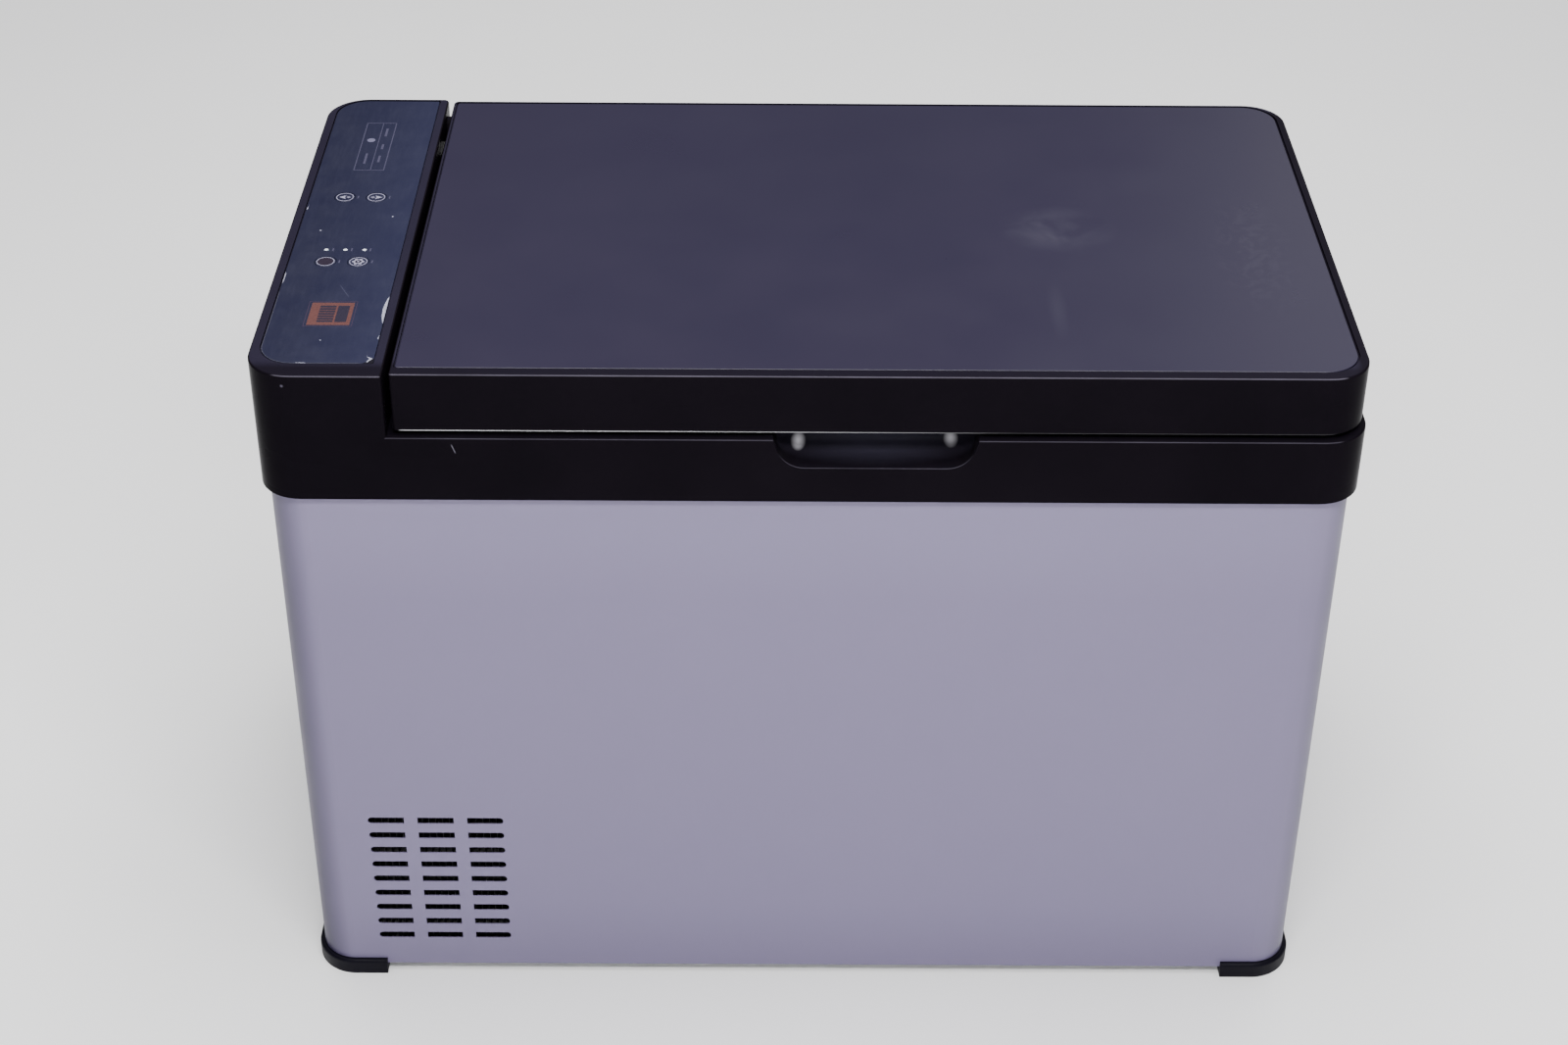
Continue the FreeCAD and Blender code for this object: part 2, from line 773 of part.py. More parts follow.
def bracket_bush_hull():
    return cylinder((bracket_x - bracket_width / 2, hinge_y, hinge_z), X_AXIS, bush_radius, bracket_width)


def make_bracket():
    return bracket_shape().cut([bracket_bush_hull()] + bracket_screw_list())


def make_bracket_bush():
    return bracket_bush_hull().cut(cylinder((bracket_x - bracket_width, hinge_y, hinge_z), X_AXIS,
                                            pin_radius + running_fit, 2 * bracket_width))


def bracket_screw_list():
    reach = bracket_base_x / 2 - 4.0
    return [screw(bracket_x + side * reach, hinge_y, ledge, False, 3.5, 2.0, 2.0, 10.0) for side in (-1, 1)]


def make_hinge_pin_right():
    reach = bracket_width / 2 + bracket_side_gap + pocket_wall - 1.0
    return cylinder((bracket_x - reach, hinge_y, hinge_z), X_AXIS, pin_radius, 2 * reach)


# ------------------------------------------------------------------ lid
def lid_inside(z0, z1):
    """The lid's inner plan, between two heights."""
    return prism(lid_left + lid_wall, lid_right - lid_wall, -lid_y + lid_wall, lid_y - lid_wall, z0, z1,
                 (1.0, lid_radius - lid_wall, lid_radius - lid_wall, 1.0))


def pocket_hull():
    half = bracket_width / 2 + bracket_side_gap + pocket_wall
    return box(bracket_x - half, bracket_x + half, hinge_y - bracket_radius - pocket_clearance - pocket_wall / 2,
               lid_y - lid_wall, lid_bottom, overall_height - lid_top_wall)


def pocket_space():
    half = bracket_width / 2 + bracket_side_gap
    return box(bracket_x - half, bracket_x + half, hinge_y - bracket_radius - pocket_clearance, lid_y + 1,
               lid_bottom - pan_depth, hinge_z + bracket_radius + pocket_clearance)


def lid_screw_spots():
    for x in (lid_left + lid_screw_inset + 16.0, lid_centre, lid_right - lid_screw_inset - 6.0):
        for y in (-lid_y + lid_screw_inset, lid_y - lid_screw_inset):
            yield x, y


def lid_screw_list():
    return [screw(x, y, lid_bottom, True, screw_head_radius, panel_sheet, screw_radius, 14.0)
            for x, y in lid_screw_spots()]


def lid_bosses():
    """Solid parts inside the lid's shell: screw bosses, the left hinge boss and the bracket's pocket."""
    posts = [cylinder((x, y, lid_bottom + panel_sheet), Z_AXIS, lid_boss_radius,
                      overall_height - lid_top_wall - lid_bottom - panel_sheet) for x, y in lid_screw_spots()]
    left = cylinder((lid_left + lid_wall, hinge_y, hinge_z), X_AXIS, hinge_boss_radius, hinge_boss_length)
    return posts + [left, pocket_hull()]


def inlay_plan(offset, z0, z1):
    extra_right = 0.4 if offset else 0.0
    return prism(lid_left + inlay_margin_left - offset, lid_right - inlay_margin_right + offset + extra_right,
                 -lid_y + inlay_margin_front - offset, lid_y - inlay_margin_rear + offset, z0, z1,
                 (1.5, inlay_radius + offset, inlay_radius + offset, 1.5))


def make_inlay():
    top = overall_height - inlay_sunk
    sheet = inlay_plan(0, top - inlay_thickness, top)
    return sheet.makeFillet(inlay_edge, level_edges(sheet, top))


def make_lid_shell():
    body = prism(lid_left, lid_right, -lid_y, lid_y, lid_bottom, overall_height, (2.0, lid_radius, lid_radius, 3.0))
    body = body.makeFillet(lid_edge, level_edges(body, overall_height))
    body = body.makeFillet(ledge_edge, level_edges(body, lid_bottom))
    hollow = lid_inside(lid_bottom - 1, overall_height - lid_top_wall).cut(lid_bosses())
    recess = inlay_plan(inlay_groove, overall_height - inlay_sunk - inlay_thickness, overall_height + 1)
    return body.cut([hollow, recess, pocket_space(), lid_bush_hull(), make_hinge_pin_right()]
                    + lid_screw_list())


def pan_plan(grow, z0, z1):
    return prism(opening_left + pan_clearance - grow, opening_right - pan_clearance + grow,
                 -opening_y + pan_clearance - grow, opening_y - pan_clearance + grow, z0, z1, liner_radius)


def make_lid_liner():
    panel = lid_inside(lid_bottom, lid_bottom + panel_sheet)
    pan = pan_plan(0, lid_bottom - pan_depth, lid_bottom + panel_sheet)
    pan = pan.makeFillet(4.0, level_edges(pan, lid_bottom - pan_depth))
    hollow = pan_plan(-pan_wall, lid_bottom - pan_depth + pan_wall, lid_bottom + panel_sheet + 1)
    body = panel.fuse(pan).removeSplitter().cut([hollow, pocket_hull()] + lid_screw_list())
    return body


def make_lid_foam():
    fill = lid_inside(lid_bottom + panel_sheet, overall_height - lid_top_wall)
    pan = pan_plan(-pan_wall, lid_bottom - pan_depth + pan_wall, lid_bottom + panel_sheet)
    body = fill.fuse(pan).removeSplitter()
    return body.cut(lid_bosses())


def make_gasket():
    def plan(offset, z0, z1):
        return prism(opening_left - offset, opening_right + offset, -opening_y - offset, opening_y + offset,
                     z0, z1, liner_radius)
    bottom = ledge + gasket_rest_gap
    outer = plan(gasket_offset + gasket_width, bottom, lid_bottom)
    outer = outer.makeFillet(1.2, level_edges(outer, bottom))
    return outer.cut(plan(gasket_offset, bottom - 1, lid_bottom + 1))


# ------------------------------------------------------------------ condenser and fan
def make_condenser_tube():
    """Serpentine along X; both ends turn to the rear beside the fan."""
    right = -fin_left + 2 * fan_x + 2.0
    left = fin_left - 2.0
    bend = pass_pitch / 2
    y = condenser_y
    points = [(tube_line_x, fan_front + fan_gap, pass_first + (pass_count - 1) * pass_pitch)]
    bends = []
    for index in range(pass_count):
        z = pass_first + (pass_count - 1 - index) * pass_pitch
        ends = (right + bend, left - bend) if index % 2 == 0 else (left - bend, right + bend)
        start = tube_line_x if index == 0 else ends[0]
        finish = tube_line_x if index == pass_count - 1 else ends[1]
        points += [(start, y, z), (finish, y, z)]
        bends += [8.0 if index == 0 else bend, 8.0 if index == pass_count - 1 else bend]
    points.append((tube_line_x, fan_front + fan_gap, pass_first))
    return tube(points, bends, condenser_tube_radius)


def pass_holes(x0, length):
    return [cylinder((x0, condenser_y, pass_first + index * pass_pitch), X_AXIS, condenser_tube_radius, length)
            for index in range(pass_count)]


def make_fins():
    solids = []
    for index in range(fin_count):
        x = fin_left + index * fin_pitch
        sheet = box(x - fin_sheet / 2, x + fin_sheet / 2, condenser_y - fin_depth / 2, condenser_y + fin_depth / 2,
                    fin_bottom, fin_bottom + fin_height)
        solids.append(sheet.cut(pass_holes(x - 1, 2)))
    return group(solids)


def make_end_plates():
    """Two side plates that carry the tube and reach back to the fan's frame."""
    solids = []
    for side in (-1, 1):
        x = fan_x + side * (fin_pitch * (fin_count - 1) / 2 + 1.5)
        sheet = box(x - 0.5, x + 0.5, condenser_y - fin_depth / 2, fan_front, base_top, fin_bottom + fin_height)
        solids.append(sheet.cut(pass_holes(x - 1, 2)))
    return group(solids)


def fan_screw_list():
    reach = fan_size / 2 - 7.5
    return [cylinder((fan_x + sx * reach, fan_front - 3.0, fan_z + sz * reach), Y_AXIS, 2.0, fan_depth + 5.0).fuse(
        cylinder((fan_x + sx * reach, fan_rear, fan_z + sz * reach), Y_AXIS, 4.0, 2.0)).removeSplitter()
        for sx in (-1, 1) for sz in (-1, 1)]


def make_fan_frame():
    upright = prism(fan_x - fan_size / 2, fan_x + fan_size / 2, -fan_size / 2, fan_size / 2, 0, fan_depth, 6.0)
    upright.rotate(V(0, 0, 0), X_AXIS, 90)
    upright.translate(V(0, fan_rear, fan_z))
    body = upright.cut(cylinder((fan_x, fan_front - 1, fan_z), Y_AXIS, fan_bore_radius, fan_depth + 2))
    plate_y = fan_rear - fan_motor_plate
    plate = cylinder((fan_x, plate_y, fan_z), Y_AXIS, fan_hub_radius, fan_motor_plate)
    post = cylinder((fan_x, fan_front + 6.0, fan_z), Y_AXIS, fan_post_radius, plate_y - fan_front - 5.0)
    arms = []
    for index in range(4):
        arm = box(fan_hub_radius - 2, fan_bore_radius + 2, plate_y, fan_rear, -2.5, 2.5)
        arm.rotate(V(0, 0, 0), Y_AXIS, 45 + 90 * index)
        arm.translate(V(fan_x, 0, fan_z))
        arms.append(arm)
    body = joined([body, plate, post] + arms)
    bore = cylinder((fan_x, fan_front + 5.0, fan_z), Y_AXIS, fan_shaft_radius + running_fit, fan_depth)
    return body.cut([bore] + fan_screw_list())


def make_fan_rotor():
    hub_front = fan_front + 1.0
    hub_rear = fan_rear - fan_motor_plate - 0.6
    hub = cylinder((fan_x, hub_front, fan_z), Y_AXIS, fan_hub_radius, hub_rear - hub_front)
    hollow = cylinder((fan_x, hub_front + fan_hub_wall, fan_z), Y_AXIS, fan_hub_radius - fan_hub_wall, fan_depth)
    hub = hub.cut(hollow)
    shaft = cylinder((fan_x, hub_front, fan_z), Y_AXIS, fan_shaft_radius, fan_rear - hub_front - 1.0)
    sweep = cylinder((fan_x, hub_front, fan_z), Y_AXIS, fan_bore_radius - fan_wall_clearance,
                     hub_rear - hub_front).cut(cylinder((fan_x, hub_front - 1, fan_z), Y_AXIS,
                                                        fan_hub_radius - fan_hub_wall / 2, fan_depth + 2))
    middle = (hub_front + hub_rear) / 2
    blades = []
    for index in range(fan_blades):
        blade = box(fan_hub_radius - fan_hub_wall, fan_bore_radius + 2, -blade_chord / 2, blade_chord / 2,
                    -blade_sheet / 2, blade_sheet / 2)
        blade.rotate(V(0, 0, 0), X_AXIS, blade_pitch_angle)
        blade.rotate(V(0, 0, 0), Y_AXIS, 360.0 * index / fan_blades)
        blade.translate(V(fan_x, middle, fan_z))
        blades.append(blade.common(sweep))
    return joined([hub, shaft] + blades)


# ------------------------------------------------------------------ compressor
def compressor_hull(grow, z0, z1):
    return centred(compressor_x, compressor_y, z0, z1, compressor_width / 2 + grow, compressor_length / 2 + grow,
                   compressor_radius + grow)


def make_lower_can():
    bottom = mount_plate_top
    seam = bottom + compressor_seam
    can = compressor_hull(0, bottom, seam)
    can = can.makeFillet(compressor_dome / 2, level_edges(can, bottom))
    lip = compressor_hull(seam_flange, seam - 3.0, seam)
    hollow = compressor_hull(-compressor_wall, bottom + compressor_wall, seam + 1)
    hollow = hollow.makeFillet(compressor_dome / 3, level_edges(hollow, bottom + compressor_wall))
    return can.fuse(lip).removeSplitter().cut(hollow)


def make_upper_can():
    seam = mount_plate_top + compressor_seam
    can = compressor_hull(0, seam, compressor_top)
    can = can.makeFillet(compressor_dome, level_edges(can, compressor_top))
    lip = compressor_hull(seam_flange, seam, seam + 3.0)
    top = compressor_top - compressor_wall
    hollow = compressor_hull(-compressor_wall, seam - 1, top)
    hollow = hollow.makeFillet(compressor_dome - compressor_wall, level_edges(hollow, top))
    return can.fuse(lip).removeSplitter().cut(hollow)


def make_pump_block():
    """Motor and cylinder block inside the can, on four springs."""
    bottom = mount_plate_top + compressor_wall + pump_lift
    stator = cylinder((compressor_x, compressor_y - 8, bottom), Z_AXIS, 40.0, 38.0)
    crankcase = centred(compressor_x, compressor_y, bottom + 38.0, bottom + 62.0, 34.0, 46.0, 12.0)
    head = centred(compressor_x, compressor_y + 50.0, bottom + 40.0, bottom + 60.0, 18.0, 6.0, 3.0)
    return joined([stator, crankcase, head])


def make_pump_springs():
    bottom = mount_plate_top + compressor_wall
    springs = []
    for sx in (-1, 1):
        for sy in (-1, 1):
            spot = (compressor_x + sx * 24, compressor_y - 8 + sy * 24, bottom)
            springs.append(cylinder(spot, Z_AXIS, 5.0, pump_lift).cut(cylinder(spot, Z_AXIS, 3.5, pump_lift)))
    return springs


def mount_spots():
    for sx in (-1, 1):
        for sy in (-1, 1):
            yield (compressor_x + sx * (mount_plate_x / 2 - mount_from_edge),
                   compressor_y + sy * (mount_plate_y / 2 - mount_from_edge))


def grommet_hull(x, y):
    neck = cylinder((x, y, base_top), Z_AXIS, grommet_neck, mount_plate_top + grommet_lip - base_top)
    low = cylinder((x, y, base_top), Z_AXIS, grommet_radius, mount_plate_bottom - base_top)
    high = cylinder((x, y, mount_plate_top), Z_AXIS, grommet_radius - 1.5, grommet_lip)
    return joined([neck, low, high])


def bolt_list():
    top = mount_plate_top + grommet_lip
    return [screw(x, y, top + bolt_head, False, 4.5, bolt_head, bolt_radius, top + bolt_head - body_bottom)
            for x, y in mount_spots()]


def make_mount_plate():
    plate = centred(compressor_x, compressor_y, mount_plate_bottom, mount_plate_top, mount_plate_x / 2,
                    mount_plate_y / 2, 12.0)
    return plate.cut([grommet_hull(x, y) for x, y in mount_spots()])


def make_grommets():
    return group([grommet_hull(x, y).cut(bolt_list()) for x, y in mount_spots()])


def cover_left():
    return compressor_x + compressor_width / 2


def make_driver():
    """Electronic controller, plugged on to the compressor's terminals."""
    x0 = cover_left() + cover_x
    z = mount_plate_top + 30.0
    plug = box(cover_left(), x0, compressor_y - cover_y / 2, compressor_y + cover_y / 2, z, z + 30.0)
    body = box(x0, x0 + driver_x, compressor_y - driver_y / 2, compressor_y + driver_y / 2, driver_base,
               driver_base + driver_z)
    pitch = driver_y / 11
    grooves = [box(x0 + driver_x - fin_relief, x0 + driver_x + 1, compressor_y - driver_y / 2 + (n + 0.6) * pitch,
                   compressor_y - driver_y / 2 + (n + 1) * pitch, driver_base - 1, driver_base + driver_z + 1)
               for n in range(10)]
    return body.cut(grooves).fuse(plug).removeSplitter()


# ------------------------------------------------------------------ refrigerant circuit
def make_discharge_tube():
    x = compressor_x + 26.0
    y = compressor_y - 34.0
    z = pass_first + (pass_count - 1) * pass_pitch
    high = compressor_top + 20.0
    turn_y = fan_rear + 22.0
    return tube([(x, y, compressor_top), (x, y, high), (x, turn_y, high), (tube_line_x, turn_y, high),
                 (tube_line_x, turn_y, z), (tube_line_x, fan_front + fan_gap, z)], 9.0, discharge_radius)


def drier_start():
    return fan_front + fan_gap


def make_drier():
    """Copper can with a stub at each end."""
    y = drier_start()
    stub = cylinder((tube_line_x, y, pass_first), Y_AXIS, condenser_tube_radius, 8.0)
    can = cylinder((tube_line_x, y + 8, pass_first), Y_AXIS, drier_radius, drier_length)
    can = can.makeFillet(3.0, [e for e in can.Edges if e.Curve.TypeId == "Part::GeomCircle"])
    tail = cylinder((tube_line_x, y + 7 + drier_length, pass_first), Y_AXIS, 2.5, 9.0)
    return joined([stub, can, tail])


def evaporator_side():
    return opening_y + liner_wall + tube_to_liner + evaporator_radius


def tube_cross_y():
    return half_d - 62.0


def make_capillary():
    start = drier_start() + drier_length + 16.0
    back = tube_cross_y()
    lane = machine_right + 17.0
    return tube([(tube_line_x, start, pass_first), (tube_line_x, back, pass_first),
                 (tube_line_x, back, evaporator_first), (lane, back, evaporator_first),
                 (lane, evaporator_side(), evaporator_first),
                 (evaporator_left, evaporator_side(), evaporator_first)], 8.0, liquid_radius)


def make_evaporator():
    """Rows of tube round the rear, right and front of the liner, joined by end bends."""
    side = evaporator_side()
    right = opening_right + liner_wall + tube_to_liner + evaporator_radius
    pitch = evaporator_pitch()
    points = []
    bends = []
    for index in range(evaporator_passes):
        z = evaporator_first + index * pitch
        near = (evaporator_left + 40.0, -side, z)
        far = (evaporator_left + 40.0 if index not in (0, evaporator_passes - 1) else evaporator_left, side, z)
        round_right = [(right, side, z), (right, -side, z)]
        row = [far] + round_right + [near] if index % 2 == 0 else [near] + round_right[::-1] + [far]
        row_bends = [pitch / 2, evaporator_corner, evaporator_corner, pitch / 2]
        points += row
        bends += row_bends
    return tube(points, bends[1:-1], evaporator_radius)


def evaporator_pitch():
    return (frame_bottom - 68.0 - evaporator_first) / (evaporator_passes - 1)


def evaporator_last():
    return evaporator_first + (evaporator_passes - 1) * evaporator_pitch()


def make_suction_tube():
    lane = machine_right + 20.0
    back = tube_cross_y()
    across = machine_top - 28.0
    x = compressor_x + 1.0
    y = compressor_y + 36.0
    return tube([(evaporator_left, evaporator_side(), evaporator_last()),
                 (lane, evaporator_side(), evaporator_last()), (lane, evaporator_side(), across),
                 (lane, back, across), (x, back, across), (x, y, across), (x, y, compressor_top)], 10.0,
                suction_radius)


def make_sensor():
    x = deep_left - liner_wall - 2.6
    return cylinder((x, -14, machine_top - 50.0), Y_AXIS, 2.5, 28.0)


# ------------------------------------------------------------------ wiring, lamp and inlets
def harness_x():
    return key_left + 3.5


def harness_points():
    x = harness_x()
    y = half_d - 52.0
    across = machine_top - 13.0
    drop_x = cover_left() + cover_x + 8.0
    drop_y = compressor_y + 8.0
    return [(x, y, board_top - board_thickness), (x, y, across), (drop_x, y, across), (drop_x, drop_y, across),
            (drop_x, drop_y, driver_base + driver_z)]


def make_harness():
    return tube(harness_points(), 9.0, 2.5)


def harness_hole():
    x, y, _ = harness_points()[0]
    return cylinder((x, y, ledge_under - 1), Z_AXIS, 2.5, 20.0)


def make_power_lead():
    y, z = dc_spot()
    x = cover_left() + cover_x + 7.0
    start = -shell_x - inlet_plate_thickness + inlet_length
    return tube([(start, y, z), (x, y, z), (x, compressor_y + driver_y / 2, z)], 20.0, 2.5)


def lamp_body():
    """Lamp housing through the liner's left wall, high over the step."""
    z = ledge_under - 34.0
    lamp = prism(-15.0, 15.0, z - 6.0, z + 6.0, 0, 7.0, 3.0)
    lamp.rotate(V(0, 0, 0), V(1, 1, 1), 120)
    lamp.translate(V(opening_left - 7.0, 0, 0))
    return lamp


def lens_body():
    z = ledge_under - 34.0
    lens = prism(-14.0, 14.0, z - 5.0, z + 5.0, 0, 2.5, 2.5)
    lens.rotate(V(0, 0, 0), V(1, 1, 1), 120)
    lens.translate(V(opening_left - 1.0, 0, 0))
    return lens


def make_inlet_plate():
    upright = prism(inlet_centre_y - inlet_plate_y / 2, inlet_centre_y + inlet_plate_y / 2,
                    inlet_centre_z - inlet_plate_z / 2, inlet_centre_z + inlet_plate_z / 2, 0,
                    inlet_plate_thickness, 5.0)
    upright = upright.makeFillet(inlet_edge, level_edges(upright, 0))
    upright.rotate(V(0, 0, 0), V(1, 1, 1), 120)
    upright.translate(V(-shell_x - inlet_plate_thickness, 0, 0))
    return upright.cut([dc_body(), fuse_body(), ac_body()])


def make_dc_inlet():
    """Round two-pin socket."""
    y, z = dc_spot()
    x = -shell_x - inlet_plate_thickness
    well = cylinder((x - 1, y, z), X_AXIS, dc_radius - 2.0, 15.0)
    pins = [cylinder((x + 2.0, y + side * 4.0, z), X_AXIS, inlet_pin_radius, 14.0) for side in (-1, 1)]
    return joined([dc_body().cut(well)] + pins)


def make_ac_inlet():
    y, z = ac_spot()
    x = -shell_x - inlet_plate_thickness
    well = box(x - 1, x + 14, y - ac_length / 2 + 2.5, y + ac_length / 2 - 2.5, z - ac_height / 2 + 2.5,
               z + ac_height / 2 - 2.5)
    pins = [cylinder((x + 2.0, y + side * 4.3, z), X_AXIS, inlet_pin_radius, 14.0) for side in (-1, 1)]
    return joined([ac_body().cut(well)] + pins)


def make_fuse_holder():
    y, z = fuse_spot()
    x = -shell_x - inlet_plate_thickness
    return fuse_body().cut(box(x - 1, x + 1.2, y - 4.5, y + 4.5, z - 0.7, z + 0.7))


def grille_screw_list():
    solids = []
    for sx in (-1, 1):
        for sz in (-1, 1):
            x = grille_x + sx * (grille_width / 2 - 10.0)
            z = grille_z + sz * (grille_height / 2 - 2.5)
            head = cylinder((x, shell_y + grille_thickness - 1.0, z), Y_AXIS, 2.3, 2.0)
            shank = cylinder((x, shell_y - 6.0, z), Y_AXIS, 1.4, grille_thickness + 6.0)
            solids.append(head.fuse(shank).removeSplitter())
    return solids


def make_grille():
    lip = centred(0, 0, 0, grille_thickness, grille_width / 2, grille_height / 2, grille_radius)
    lip = lip.makeFillet(grille_edge, level_edges(lip, grille_thickness))
    lip.rotate(V(0, 0, 0), X_AXIS, -90)
    lip.translate(V(grille_x, shell_y, grille_z))
    plug = rear_opening().common(box(-half_w, half_w, shell_y - grille_body, shell_y, 0, machine_top))
    slots = vent_slots(grille_x - vent_span / 2, grille_z - (vent_rows - 1) * vent_pitch / 2,
                       shell_y - grille_body - 1, shell_y + grille_thickness + 1)
    return lip.fuse(plug).removeSplitter().cut([slots] + grille_screw_list())


# ------------------------------------------------------------------ basket
def trapezium(x0, x1, y0, y1, z0, z1, inward, side):
    """The upright cell beside one side of a rectangle, cut at 45 degrees at its corners."""
    outer = [V(x0, y0, z0), V(x1, y0, z0), V(x1, y1, z0), V(x0, y1, z0)]
    inner = [V(x0 + inward, y0 + inward, z0), V(x1 - inward, y0 + inward, z0),
             V(x1 - inward, y1 - inward, z0), V(x0 + inward, y1 - inward, z0)]
    following = (side + 1) % 4
    corners = [outer[side], outer[following], inner[following], inner[side], outer[side]]
    return Part.Face(Part.makePolygon(corners)).extrude(V(0, 0, z1 - z0))


def frustum(x0, x1, y0, y1, z0, inward):
    """A rectangle that shrinks by 45 degrees as it rises."""
    low = Part.makePolygon([V(x0, y0, z0), V(x1, y0, z0), V(x1, y1, z0), V(x0, y1, z0), V(x0, y0, z0)])
    high = Part.makePolygon([V(x0 + inward, y0 + inward, z0 + inward), V(x1 - inward, y0 + inward, z0 + inward),
                             V(x1 - inward, y1 - inward, z0 + inward), V(x0 + inward, y1 - inward, z0 + inward),
                             V(x0 + inward, y0 + inward, z0 + inward)])
    return Part.makeLoft([low, high], True, True)


def make_basket():
    """Welded wire basket in the deep part of the liner: a floor and four walls that meet at 45 degrees."""
    x0 = deep_left + basket_clearance
    x1 = opening_right - basket_clearance
    y1 = opening_y - basket_clearance
    bottom = deep_floor + basket_wire
    top = lid_bottom - pan_depth - basket_lid_gap
    wires = []
    for z, radius in ((top, basket_rim), ((top + bottom) / 2 + 30, basket_wire), (bottom + 60, basket_wire)):
        path = outline(x0, x1, -y1, y1, z, basket_radius)
        wires.append(closed_tube(path, radius))
    for index in range(basket_hoops):
        x = x0 + basket_radius + 6 + index * (x1 - x0 - 2 * basket_radius - 12) / (basket_hoops - 1)
        hoop = [(x, -y1, top), (x, -y1, bottom), (x, y1, bottom), (x, y1, top)]
        wires.append(tube(hoop, basket_bend, basket_wire))
    for index in range(basket_runs):
        y = -y1 + basket_radius + 6 + index * (2 * y1 - 2 * basket_radius - 12) / (basket_runs - 1)
        run = [(x0, y, top), (x0, y, bottom + 2), (x1, y, bottom + 2), (x1, y, top)]
        wires.append(tube(run, basket_bend, basket_wire))
    welded = joined(wires)
    out = 2 * basket_rim
    floor_cell = frustum(x0 - out, x1 + out, -y1 - out, y1 + out, bottom - out, out + 2 * basket_bend)
    cells = [floor_cell]
    for side in range(4):
        wall_cell = trapezium(x0 - out, x1 + out, -y1 - out, y1 + out, bottom - out, top + out,
                              out + 2 * basket_bend, side)
        cells.append(wall_cell.cut(floor_cell))
    panels = []
    for cell in cells:
        panels += welded.common(cell).Solids
    return group(panels)


def closed_tube(path, radius):
    """A tube round a closed flat loop."""
    edge = path.Edges[1]
    point = edge.valueAt(edge.FirstParameter)
    way = edge.tangentAt(edge.FirstParameter)
    section = Part.Wire(Part.makeCircle(radius, point, way))
    return path.makePipeShell([section], True, False)


# ------------------------------------------------------------------ build
def save(name, shape):
    if not shape.isValid():
        print("not valid:", name)
    if not shape.Solids:
        print("no solid:", name)
    shape.exportStep("parts/" + name + ".step")
    print(name, len(shape.Solids), round(shape.Volume / 1000.0, 1))


def main():
    os.makedirs("parts", exist_ok=True)
    nodes = {
        "outer_shell": make_outer_shell(),
        "base_plate": make_base_plate(),
        "cabinet_screws": group(foot_screw_list() + board_screw_list() + bracket_screw_list()
                                + grille_screw_list()),
        "top_frame": make_top_frame(),
        "inner_liner": make_inner_liner(),
        "partition_panel": make_partition(),
        "control_overlay": make_overlay(),
        "display_window": window_lens(panel_under, panel_top),
        "indicator_leds": group(led_list()),
        "keypad_frame": make_backing(),
        "control_board": group([make_board(), make_display()] + make_switches()),
        "hinge_pin_left": make_hinge_pin_left(),
        "lid_bush": make_lid_bush(),
        "hinge_bracket": make_bracket(),
        "bracket_bush": make_bracket_bush(),
        "hinge_pin_right": make_hinge_pin_right(),
        "lid_shell": make_lid_shell(),
        "lid_inlay": make_inlay(),
        "lid_liner": make_lid_liner(),
        "lid_foam": make_lid_foam(),
        "lid_gasket": make_gasket(),
        "lid_screws": group(lid_screw_list()),
        "condenser_tube": make_condenser_tube(),
        "condenser_fins": make_fins(),
        "condenser_end_plates": make_end_plates(),
        "fan_frame": make_fan_frame(),
        "fan_rotor": make_fan_rotor(),
        "fan_screws": group(fan_screw_list()),
        "compressor_lower_shell": make_lower_can(),
        "compressor_upper_shell": make_upper_can(),
        "compressor_pump": group([make_pump_block()] + make_pump_springs()),
        "compressor_base": make_mount_plate(),
        "compressor_grommets": make_grommets(),
        "compressor_bolts": group(bolt_list()),
        "compressor_driver": make_driver(),
        "discharge_tube": make_discharge_tube(),
        "filter_drier": make_drier(),
        "capillary_tube": make_capillary(),
        "evaporator_tube": make_evaporator(),
        "suction_tube": make_suction_tube(),
        "temperature_sensor": make_sensor(),
        "wiring_harness": make_harness(),
        "power_lead": make_power_lead(),
        "compartment_lamp": lamp_body().cut(lens_body()),
        "lamp_lens": lens_body(),
        "inlet_plate": make_inlet_plate(),
        "dc_inlet": make_dc_inlet(),
        "ac_inlet": make_ac_inlet(),
        "fuse_holder": make_fuse_holder(),
        "rear_grille": make_grille(),
        "wire_basket": make_basket(),
    }
    nodes["foam_insulation"] = make_foam([nodes[n] for n in (
        "top_frame", "evaporator_tube", "capillary_tube", "suction_tube", "temperature_sensor", "wiring_harness",
        "compartment_lamp", "hinge_bracket", "cabinet_screws")])
    for name, (x, y) in key_spots().items():
        nodes[name] = make_key(x, y)
    for name, sx, sy in (("foot_front_left", -1, -1), ("foot_front_right", 1, -1), ("foot_rear_left", -1, 1),
                         ("foot_rear_right", 1, 1)):
        nodes[name] = make_foot(sx, sy)
    for name, shape in nodes.items():
        save(name, shape)
    print(len(nodes), "nodes")


main()
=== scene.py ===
import json
import math
import random

import bpy
from mathutils import Matrix, Vector


